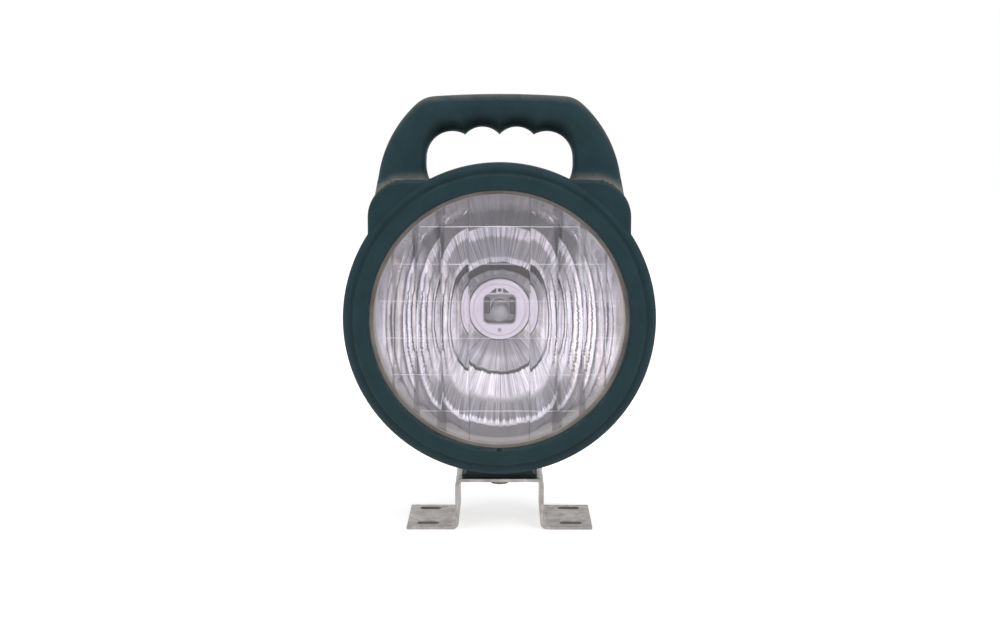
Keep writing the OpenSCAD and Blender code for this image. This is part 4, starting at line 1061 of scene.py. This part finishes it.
bracket = dict(steel=2.0, deep=25.0, channel=25.0, top=29.4, footX=52.5, bend=2.0, slotX=40.5, slotY=17.0,
               slotW=6.5, slotL=12.5, shadeSleeveIn=(0.02, 0.1), shadeSleeveEnd=0.35, hole=6.6,
               holeCut=(-5, 3), slotCut=(-2, 5), edge=0.35, edgeTurn=50)


def makeBracket(v):
    t, r = v["steel"], v["bend"]
    top = (v["channel"] - r - t, v["top"] - r - t)
    low = (v["channel"] + r, t + r)
    outer = arc(*top, r + t, 90, 0, 12) + arc(*low, r, 180, 270, 12) + [(v["footX"], t), (v["footX"], 0)]
    inner = arc(*low, r + t, 270, 180, 12) + arc(*top, r, 0, 90, 12)
    half = outer + inner
    line = half + [(-x, z) for x, z in half[::-1]]
    plate = solid("bracketStrip", loft([[(x, y, z) for x, z in line] for y in (-v["deep"], v["deep"])]))
    run = (v["slotL"] - v["slotW"]) / 2
    places = [(sx * v["slotX"], sy * v["slotY"]) for sx in (-1, 1) for sy in (-1, 1)]

    def slotRing(place, inset, z):
        size = v["slotW"] / 2 - inset
        ring = arc(run, 0, size, -90, 90, 16) + arc(-run, 0, size, 90, 270, 16)
        return [(place[0] + x, place[1] + y, z) for x, y in ring]

    (below, above), hole = [v["top"] + z for z in v["holeCut"]], v["hole"] / 2
    line = [(0, below), (hole, below), (hole, above), (0, above)]
    cutters = [solid("hole", spin(line, onZ(), 40, closed=False))]
    cutters += [solid("slot", loft([slotRing(p, 0, z) for z in v["slotCut"]])) for p in places]
    carve(plate, "DIFFERENCE", *cutters)
    soft = plate.modifiers.new("soft", "BEVEL")
    soft.width, soft.segments = v["edge"] / 1000, 2
    soft.limit_method, soft.angle_limit = "ANGLE", math.radians(v["edgeTurn"])
    settle(plate)
    dress(plate, galvanised, "galvanised_steel", "bracket", body="bracket")
    # thin dark sleeves in the slots: painted shade on the slots' walls
    (thin, thick), z0, z1 = v["shadeSleeveIn"], v["shadeSleeveEnd"], t - v["shadeSleeveEnd"]
    loops = ((thin, z0), (thin, z1), (thick, z1), (thick, z0))
    shells = [sweep([slotRing(p, *loop) for loop in loops], True, True) for p in places]
    dress(solid("slotShadeSleeves", *shells), slotShadeSteel, "galvanised_steel", body="bracket")


makeBracket(bracket)
print("bracket made")

swivel = dict(flats=10.0, bolt=6.0, pitch=1.0, thread=4.0, gap=0.3, splitFrom=8, splitTurn=344,
              splitRise=0.25, splitEdge=0.3, splitIn=0.15, overlap=0.2, plain=4.4, tip=0.4, tipIn=0.7,
              headBore=0.9, nutIn=0.4)


def makeSwivel(v):
    # the head is under the plate, the nut and its washers are in the rubber foot
    low, high = span("pivot_bolt")
    headHigh = span("plate_washer")[0].z
    nutLow, nutHigh = span("pivot_nut")
    r, from0 = v["bolt"] / 2, nutLow.z - v["thread"]
    neck = headHigh - v["overlap"]
    shank = [(0, neck), (r, neck), (r, nutLow.z - v["plain"])]
    shank += threadLine(r, from0, high.z - v["tip"], v["pitch"]) + [(r - v["tipIn"], high.z), (0, high.z)]
    head = hexShape(low.z, headHigh, v["flats"], v["headBore"], onZ(), (True, False))
    bolt = solid("pivotBolt", spin(shank, onZ(), 40, closed=False), head)
    # the darker steel is dirt and painted shade under the plate
    dress(bolt, boltSteel, "zinc_steel", "pivot_bolt")
    nut = solid("pivotNut", hexShape(nutLow.z, nutHigh.z, v["flats"], v["bolt"] - v["nutIn"], onZ()))
    dress(nut, zincSteel, "zinc_steel", "pivot_nut")
    # the plate washer takes the darker steel: dirt and painted shade under the plate
    washers = (("plate_washer", "plateWasher", boltSteel), ("seat_washer", "seatWasher", zincSteel))
    for node, name, steel in washers:
        low, high = span(node)
        ob = solid(name, washerShape(low.z, high.z, (high.x - low.x) / 2, r + v["gap"], onZ()))
        dress(ob, steel, "zinc_steel", node)
    low, high = span("spring_washer")
    bore, e, z0, z1 = r + v["gap"], v["splitEdge"], low.z + v["splitIn"], high.z - v["splitIn"]
    ring = soften([(bore, z0, e), (high.y, z0, e), (high.y, z1, e), (bore, z1, e)])
    rows, sides = [], 60
    for k in range(sides + 1):
        a = math.radians(v["splitFrom"] + v["splitTurn"] * k / sides)
        lift = v["splitRise"] * (k / sides - 0.5)
        rows.append([onZ()(u, h + lift, a) for u, h in ring])
    dress(solid("springWasher", loft(rows)), springSteel, "spring_steel", "spring_washer")


makeSwivel(swivel)
print("swivel made")

# flutes: edges across, bend of each hollow and how far it leans outward; level lines as (height, half width)
lensShape = dict(
    r=73.0, front=-34.8, back=-31.3, edge=0.3, crown=4.0, crownR=70.2, fluteR=67.5,
    edges=(16.7, 32.0, 45.9, 58.4, 69.5), hollows=(18.5, 15.5, 12.5, 12.0), leans=(0.2, 0.1, 0.1, 0.1),
    ridge=0.5, ridgeHigh=0.03, step=0.55, runOut=7.0, rows=45, crownSteps=24, lineIn=0.5, lineHigh=0.08,
    lineSunk=0.01,
    lines=((-51.0, 0.13), (-30.6, 0.13), (-10.2, 0.13), (10.2, 0.13), (30.6, 0.13), (51.0, 0.16)))


def makeLens(v):
    # stations across: the flutes' edges and steps between them
    round0, ridge = v["fluteR"], v["ridge"] / 2
    marks = [0.0]
    for e in v["edges"][:-1]:
        marks += [e - ridge, e, e + ridge]
    marks.append(round0)
    xs = []
    for a, b in zip(marks, marks[1:]):
        u0, u1 = math.asin(a / round0), math.asin(b / round0)
        n = max(1, math.ceil((b - a) / v["step"]))
        xs += [round0 * math.sin(u0 + (u1 - u0) * k / n) for k in range(n)]
    xs = [-round0] + [-x for x in xs[::-1]] + xs[1:] + [round0]

    def halfHigh(x):
        return math.sqrt(max(round0 * round0 - x * x, 0.0))

    def depth(x):
        x = abs(x)
        near = min(abs(x - e) for e in v["edges"])
        if near < ridge:
            return -v["ridgeHigh"] * (1 - 2 * near / v["ridge"])
        for a, b, bend, lean in zip(v["edges"], v["edges"][1:], v["hollows"], v["leans"]):
            a, b = a + ridge, b - ridge
            if a < x < b:
                high = bend - math.sqrt(bend ** 2 - (b - a) ** 2 / 4)
                t = (x - a) / (b - a)
                return high * 4 * t * (1 - t) * (1 + lean * (2 * t - 1))
        return 0.0

    def backY(x, z):
        return v["back"] - depth(x) * smooth((round0 - math.hypot(x, z)) / v["runOut"])

    rows = []
    for x in xs:
        turns = [math.pi / 2 * k / v["rows"] for k in range(-v["rows"], v["rows"] + 1)]
        zs = [halfHigh(x) * math.sin(t) for t in turns]
        rows.append([(x, backY(x, z), axisZ + z) for z in zs])
    back = sweep(rows, False, False)
    loop = [(x, halfHigh(x)) for x in xs] + [(x, -halfHigh(x)) for x in xs[-2:0:-1]]
    ball = (v["crownR"] ** 2 + v["crown"] ** 2) / (2 * v["crown"])
    e = v["edge"]
    path = [(round0, v["back"]), (v["r"] - e, v["back"]), (v["r"], v["back"] - e), (v["r"], v["front"] + e),
            (v["r"] - e, v["front"])]
    for k in range(v["crownSteps"] + 1):
        r = v["crownR"] * (1 - k / v["crownSteps"])
        path.append((r, v["front"] - v["crown"] + ball - math.sqrt(ball * ball - r * r)))
    rows = [[(x / round0 * r, y, axisZ + z / round0 * r) for r, y in path] for x, z in loop]
    ob = solid("lensGlass", back, sweep(rows, True, False))
    dress(ob, lensGlass, "lens_glass", "lens", sharp=9)
    # pale strips along the level lines: painted highlight lines
    shells = []
    for z, half in v["lines"]:
        section = [(-half, v["lineSunk"]), (half, v["lineSunk"]),
                   (half / 2, v["lineHigh"]), (-half / 2, v["lineHigh"])]
        inRound = [x for x in xs if x * x + z * z < (round0 - v["lineIn"]) ** 2]
        shells.append(loft([[(x, backY(x, z) + h, axisZ + z + w) for w, h in section] for x in inRound]))
    dress(solid("lensLines", *shells), paleGlass, "lens_glass")


makeLens(lensShape)

sealShape = dict(inner=69.1, outer=75.3, front=-36.0, back=-29.1, glass=-35.05, glassBack=-30.3, leg=71.2,
                 web=73.2, soft=0.5, edge=0.3, legEdge=0.2, lipEdge=0.1)


def makeSeal(v):
    line = soften([
        (v["inner"], v["front"], v["soft"]), (v["outer"], v["front"], v["edge"]),
        (v["outer"], v["back"], v["edge"]), (v["leg"], v["back"], v["legEdge"]),
        (v["leg"], v["glassBack"], 0), (v["web"], v["glassBack"], 0), (v["web"], v["glass"], 0),
        (v["inner"], v["glass"], v["lipEdge"]),
    ])
    dress(solid("lensSeal", spin(line, onY(), 240)), sealRubber, "seal_rubber", "lens_seal")


makeSeal(sealShape)

dish = dict(flange=73.0, r=69.5, front=-31.3, edge=0.4, wallY=-24.0, wallEnd=-26.0, floorY=23.4, floorR=19.0,
            hole=17.7, metal=1.0, steps=72)


def makeReflector(v):
    r0, front, metal, n = v["r"], v["front"], v["metal"], v["steps"]
    focal = (r0 ** 2 - v["floorR"] ** 2) / (4 * (v["floorY"] - v["wallY"]))
    radii = [r0 + (v["floorR"] - r0) * k / n for k in range(n + 1)]
    inside = [(r, v["floorY"] - (r * r - v["floorR"] ** 2) / (4 * focal)) for r in radii]
    outside = [(r + metal, y + metal) for r, y in inside[::-4]]
    line = [(v["flange"], front), (r0 + v["edge"], front), (r0 + 0.1, front + 0.1), (r0, front + v["edge"])]
    line += [(r0, v["wallEnd"])] + inside + [(v["hole"], v["floorY"]), (v["hole"], v["floorY"] + metal)]
    line += outside + [(r0 + metal, front + metal), (v["flange"], front + metal)]
    dress(solid("reflectorDish", spin(line, onY(), 240)), mirrorCoat, "mirror_coat", "reflector", sharp=24)


makeReflector(dish)
print("lens unit made")

# stud and rivet as (radius, height over the face)
holder = dict(
    cup=17.5, face=11.4, floorY=24.4, backY=25.6, plate=20.0, metal=1.2, edge=1.3, grooveR=14.4,
    grooveDeep=0.35, wellW=8.8, wellH=8.1, wellR=3.0, wellDeep=8.0, wellEdge=0.7, wellFillet=0.6,
    bulbHole=5.6, shadeLinerGap=0.05, shadeLiner=0.3, shadeLinerTop=1.0, rimIn=0.75, rimOut=0.05, rimUp=0.12, rimDeep=1.6,
    studZ=10.6, stud=((0, -0.6), (0.9, -0.5), (1.2, 0.2), (0, 0.2)), rivetZ=-11.6,
    rivet=((0, -0.7), (0.5, -0.62), (0.95, -0.3), (1.1, 0.2), (0, 0.2)), rimEdge=0.1, rimRound=0.15,
    grooveTop=0.5, grooveLow=0.2, innerLift=0.6, shadeLinerBore=0.1, shadeLinerRound=0.8, wedgeDeep=(-0.4, 0.3),
    wedge=((5.4, 9.2), (1.9, 9.2), (1.9, 12.0)), armX=6.9, armHalf=1.4, armZ=(-3.2, 5.6), armDeep=(4.5, 7.6),
    armRound=0.5)


def makeHolder(v):
    def well(a, grow=0.0):
        s, c = abs(math.sin(a)), abs(math.cos(a))
        return cornerReach(s, c, v["wellW"] + grow, v["wellH"] + grow, v["wellR"] + grow)

    face, metal, cup, hole = v["face"], v["metal"], v["cup"], v["bulbHole"]
    floor = face + v["wellDeep"]
    bends = quarter(18)

    def profile(a):
        line = [(v["plate"], v["backY"]), (v["plate"], v["floorY"]), (cup, v["floorY"])]
        line += [(cup - v["edge"] * (1 - math.cos(t)), face + v["edge"] * (1 - math.sin(t))) for t in bends]
        g, low, e, fillet = v["grooveR"], face + v["grooveDeep"], v["wellEdge"], v["wellFillet"]
        wide, narrow = v["grooveTop"], v["grooveLow"]
        line += [(g + wide, face), (g + narrow, low), (g - narrow, low), (g - wide, face)]
        line += [(well(a, e * (1 - math.sin(t))), face + e * (1 - math.cos(t))) for t in bends]
        line += [(well(a), floor - fillet), (well(a, -fillet), floor), (hole, floor), (hole, floor + metal)]
        line += [(well(a, metal), floor + metal), (well(a, metal), face + metal)]
        return line + [(cup - metal, face + metal + v["innerLift"]), (cup - metal, v["backY"])]

    def shadeLiner(a):
        # thin dark sheet over the well's sides and floor: painted shade in the well
        near, top, bore, fillet = v["shadeLinerGap"], face + v["shadeLinerTop"], hole + v["shadeLinerBore"], v["wellFillet"]
        thick, soft = near + v["shadeLiner"], v["shadeLinerRound"]
        return [
            (well(a, -near), top), (well(a, -near), floor - fillet - near),
            (well(a, -fillet - near), floor - near), (bore, floor - near), (bore, floor - thick),
            (well(a, -soft), floor - thick), (well(a, -thick), floor - soft), (well(a, -thick), top),
        ]

    dress(solid("bulbHolder", spin(profile, onY(), 144)), brightSteel, "bright_steel", "bulb_holder")
    dress(solid("wellShadeLiner", spin(shadeLiner, onY(), 144)), wellShadeSteel, "bright_steel")
    # dark ring round the cup's face edge: painted shadow in the gap round the disc
    r0, r1, y0, y1 = cup - v["rimIn"], cup + v["rimOut"], face - v["rimUp"], face + v["rimDeep"]
    e = v["rimEdge"]
    rim = soften([(r0, y0, e), (r1, y0, v["rimRound"]), (r1, y1, e), (r0, y1, e)])
    dress(solid("holderShadeRim", spin(rim, onY(), 144)), darkSteel, "spring_steel")
    stud, rivet = [[(r, face + h) for r, h in v[name]] for name in ("stud", "rivet")]
    shells = [spin(stud, onY(0, v["studZ"]), 28, closed=False)]
    for side in (-1, 1):
        # dark triangles beside the stud: painted shadow
        ends = [[(side * x, face + y, axisZ + z) for x, z in v["wedge"]] for y in v["wedgeDeep"]]
        shells.append(loft(ends))
        low, high = [(side * v["armX"] + s * v["armHalf"], face + y, axisZ + z)
                     for s, y, z in zip((-1, 1), v["armDeep"], v["armZ"])]
        shells.append(softBox(low, high, v["armRound"]))
    dress(solid("holderClip", *shells), darkSteel, "spring_steel")
    shell = spin(rivet, onY(0, v["rivetZ"]), 28, closed=False)
    dress(solid("holderRivet", shell), springSteel, "spring_steel")


makeHolder(holder)

bulb = dict(r=5.0, wall=0.8, tip=-8.4, end=25.6, coilY=2.6, coilHalf=2.3, coilR=0.55, coilSides=12, wire=0.11,
            turns=11, post=0.35, postX=1.5, postTop=0.5, postRun=4, elbowX=2.4, elbowY=1.2, pinchGap=0.1,
            pinchY=9.0, pinchR=3.9, pinchRound=0.8)


def makeBulb(v):
    r, w, end = v["r"], v["wall"], v["end"]

    def dome(size, turns):
        turns = [math.radians(t) for t in turns]
        return [(size * math.sin(t), v["tip"] + r - size * math.cos(t)) for t in turns]

    line = dome(r, range(0, 91, 6)) + [(r, end), (0, end), (0, end - w), (r - w, end - w)]
    line += dome(r - w, range(90, -1, -6))
    dress(solid("bulbGlass", spin(line, onY(), 64)), bulbGlass, "bulb_glass", "bulb_glass")
    foot0 = end - w - v["pinchGap"]
    pinch = soften([(0, v["pinchY"], 0), (v["pinchR"], v["pinchY"], v["pinchRound"]), (v["pinchR"], foot0, 0),
                    (0, foot0, 0)], closed=False)
    dress(solid("bulbPinch", spin(pinch, onY(), 48, closed=False)), paleGlass, "bulb_glass")
    half, y, n = v["coilHalf"], v["coilY"], v["turns"] * v["coilSides"]
    coil = []
    for k in range(n + 1):
        t = 2 * math.pi * k / v["coilSides"]
        coil.append((-half + 2 * half * k / n, y + v["coilR"] * math.cos(t),
                     axisZ + v["coilR"] * math.sin(t)))
    posts = []
    for s in (-1, 1):
        x = s * v["postX"]
        elbow = s * v["elbowX"], y + v["elbowY"], axisZ
        posts.append(tubeAlong([(s * half, y, axisZ + v["postTop"]), elbow, (x, y + v["postRun"], axisZ),
                                (x, foot0, axisZ)], v["post"]))
    ob = solid("bulbFilament", tubeAlong(coil, v["wire"], 6), *posts)
    dress(ob, tungsten, "tungsten", "bulb_filament")


makeBulb(bulb)
print("bulb made")

screwHead = dict(x=59.22, z=63.73, r=4.9, high=3.4, side=1.9, slot=0.6, slotDeep=1.5, slotRound=0.12,
                 slotRun=6, over=2, edge=0.3, shoulder=1.4, crownR=2.5, crownDrop=0.1, crownRound=0.8,
                 shank=2.5, overlap=0.2, tip=0.6, tipIn=0.5)


def makeScrews(v):
    low, high = span("bezel_screws")
    base, top = high.y - v["high"], high.y
    r, shankR = v["r"], v["shank"]
    head = soften([(0, base, 0), (r, base, v["edge"]), (r, base + v["side"], v["shoulder"]),
                   (v["crownR"], top - v["crownDrop"], v["crownRound"]), (0, top, 0)], closed=False)
    neck, run = base + v["overlap"], v["slotRun"]
    shank = [(0, neck), (shankR, neck), (shankR, low.y + v["tip"]), (shankR - v["tipIn"], low.y), (0, low.y)]
    made = []
    for s in (-1, 1):
        x, z = s * v["x"], axisZ + v["z"]
        place = onY(x, v["z"])
        screw = solid("screw", spin(head, place, 48, closed=False))
        slot = softBox((x - run, top - v["slotDeep"], z - v["slot"]),
                       (x + run, top + v["over"], z + v["slot"]), v["slotRound"])
        carve(screw, "DIFFERENCE", solid("slotCut", slot))
        made += [screw, solid("shank", spin(shank, place, 32, closed=False))]
    bm = bmesh.new()
    for ob in made:
        bm.from_mesh(ob.data)
    joined = solid("bezelScrews")
    bm.to_mesh(joined.data)
    bm.free()
    for ob in made:
        bpy.data.objects.remove(ob)
    dress(joined, zincSteel, "zinc_steel", "bezel_screws")


makeScrews(screwHead)

switch = dict(z=17.0, bush=6.0, mouth=3.6, mouthDeep=7.0, flats=17.0, pitch=1.0, tagX=6.0, tagHalf=2.0,
              tagThick=0.4, tagLong=6.0, caseIn=14.0, caseRound=0.8, slant=12.0, ball=3.3, neck=1.6, tip=2.6,
              reach=19.3, sink=1, rootIn=0.3, threadEnd=0.6, endIn=0.7, mouthEdge=0.4, tagRound=0.15,
              sealGap=0.1, sealEdge=0.35, neckRun=(1.6, 6), swell=0.25, tipIn=0.15, tipRun=3.4)


def makeSwitch(v):
    bodyLow, bodyHigh = span("switch_body")
    nutLow, nutHigh = span("switch_nut")
    sealLow, sealHigh = span("switch_seal")
    place, z, end = onY(0, v["z"]), axisZ + v["z"], bodyHigh.y
    caseFront, caseBack = bodyLow.y + v["tagLong"], span("rear_housing")[1].y - v["caseIn"]
    r, mouth, mouthY = v["bush"], v["mouth"], end - v["mouthDeep"]
    sunk, edge = caseBack - v["sink"], v["mouthEdge"]
    bush = [(0, sunk), (r - v["rootIn"], sunk)] + threadLine(r, caseBack, end - v["threadEnd"], v["pitch"])
    bush += [(r - v["endIn"], end), (mouth + edge, end), (mouth, end - edge), (mouth, mouthY), (0, mouthY)]
    case = softBox((bodyLow.x, caseFront, bodyLow.z), (bodyHigh.x, caseBack, bodyHigh.z), v["caseRound"])
    shells = [spin(bush, place, 64, closed=False), case]
    for s in (-1, 1):
        x, wide, thick = s * v["tagX"], v["tagHalf"], v["tagThick"]
        shells.append(softBox((x - wide, bodyLow.y, z - thick),
                              (x + wide, caseFront + v["sink"], z + thick), v["tagRound"]))
    dress(solid("switchBody", *shells), nickelMetal, "switch_nickel", "switch_body")
    nut = hexShape(nutLow.y, nutHigh.y, v["flats"], 2 * r - v["rootIn"], place)
    dress(solid("switchNut", nut), nickelMetal, "switch_nickel", "switch_nut")
    sealR = (sealHigh.x - sealLow.x) / 2
    seal = washerShape(sealLow.y, sealHigh.y, sealR, r + v["sealGap"], place, v["sealEdge"])
    dress(solid("switchSeal", seal), blackRubber, "seal_rubber", "switch_seal")

    pivot = [j for j in frame["joints"] if j["child"] == "switch_lever"][0]["pos_m"]
    centre = Vector(pivot) * 1000
    w = math.radians(v["slant"])
    out, flat = Vector((0, math.cos(w), -math.sin(w))), Vector((1, 0, 0))
    other = out.cross(flat)
    ball, neck, tip, reach = v["ball"], v["neck"], v["tip"], v["reach"]
    line = [(ball * math.sin(t), -ball * math.cos(t)) for t in (math.radians(d) for d in range(0, 145, 12))]
    neckFrom, neckTo = [line[-1][1] + run for run in v["neckRun"]]
    line += [(neck, neckFrom), (neck + v["swell"], neckTo), (tip - v["tipIn"], reach - v["tipRun"])]
    line += [(tip * math.cos(t), reach - tip + tip * math.sin(t)) for t in quarter(10)]
    line[-1] = (0, reach)

    def onLever(r, h, a):
        return tuple(centre + out * h + flat * (r * math.cos(a)) + other * (r * math.sin(a)))

    lever = solid("switchLever", spin(line, onLever, 48, closed=False))
    dress(lever, nickelMetal, "switch_nickel", "switch_lever", body="switch_lever")


makeSwitch(switch)

gland = dict(z=-17.0, flats=19.0, thread=7.5, bore=3.7, sealBore=5.2, pitch=1.5, dome=9.9, domeOut=1.0,
             bend=4.2, capFront=9.4, capWall=3.0, capGap=0.1, hexGap=0.2, hexIn=1, threadEnd=0.3, endIn=0.8,
             edge=0.6, lockGrow=2, lockIn=0.6)


def makeGland(v):
    place = onY(0, v["z"])
    low, high = span("cable_gland")
    capLow, capHigh = span("gland_cap")
    flange = span("switch_seal")[0].y
    lockLow, lockHigh = span("gland_locknut")
    r, bore, hexEnd, capR = v["thread"], v["bore"], capLow.y - v["hexGap"], v["thread"] + v["capGap"]
    thread = threadLine(r, low.y + v["threadEnd"], high.y - v["threadEnd"], v["pitch"])
    line = [(bore, low.y)] + thread + [(r - v["endIn"], high.y)]
    line += [(v["sealBore"], high.y), (v["sealBore"], hexEnd), (bore, hexEnd)]
    hexagon = hexShape(flange, hexEnd, v["flats"], 2 * r - v["hexIn"], place)
    dress(solid("cableGland", spin(line, place, 64), hexagon), glandNylon, "gland_nylon", "cable_gland")

    def profile(a):
        reach, top, bend = hexReach(a, v["flats"]), capHigh.y, v["bend"]
        e = v["edge"]
        points = [(capR, capLow.y), (min(reach, v["capFront"]), capLow.y), (reach, capLow.y + e)]
        for t in quarter(10):
            out = v["dome"] - bend * (1 - math.cos(t)) + v["domeOut"] * math.cos(t)
            points.append((min(reach, out), top - bend * (1 - math.sin(t))))
        inner = top - v["capWall"]
        return points + [(bore + e, top), (bore, top - e), (bore, inner), (capR, inner)]

    dress(solid("glandCap", spin(profile, place, 96)), glandNylon, "gland_nylon", "gland_cap")
    locknut = hexShape(lockLow.y, lockHigh.y, v["flats"] + v["lockGrow"], 2 * r - v["lockIn"], place)
    dress(solid("glandLocknut", locknut), glandNylon, "gland_nylon", "gland_locknut")


makeGland(gland)
print("screws, switch and gland made")

# pieces inside the case keep their solids and get their finish
kept = {
    "bezel_inserts": brassMetal, "bulb_base": brightSteel, "bulb_clip": springSteel, "clip_screw": zincSteel,
    "earth_tag": brassMetal, "bulb_lead": leadCover, "gland_seal": blackRubber, "foot_sleeve": zincSteel,
}
for node, mat in kept.items():
    ob = frame["nodes"][node]
    ob.data.materials.clear()
    ob.data.materials.append(mat)
print("inner pieces dressed")
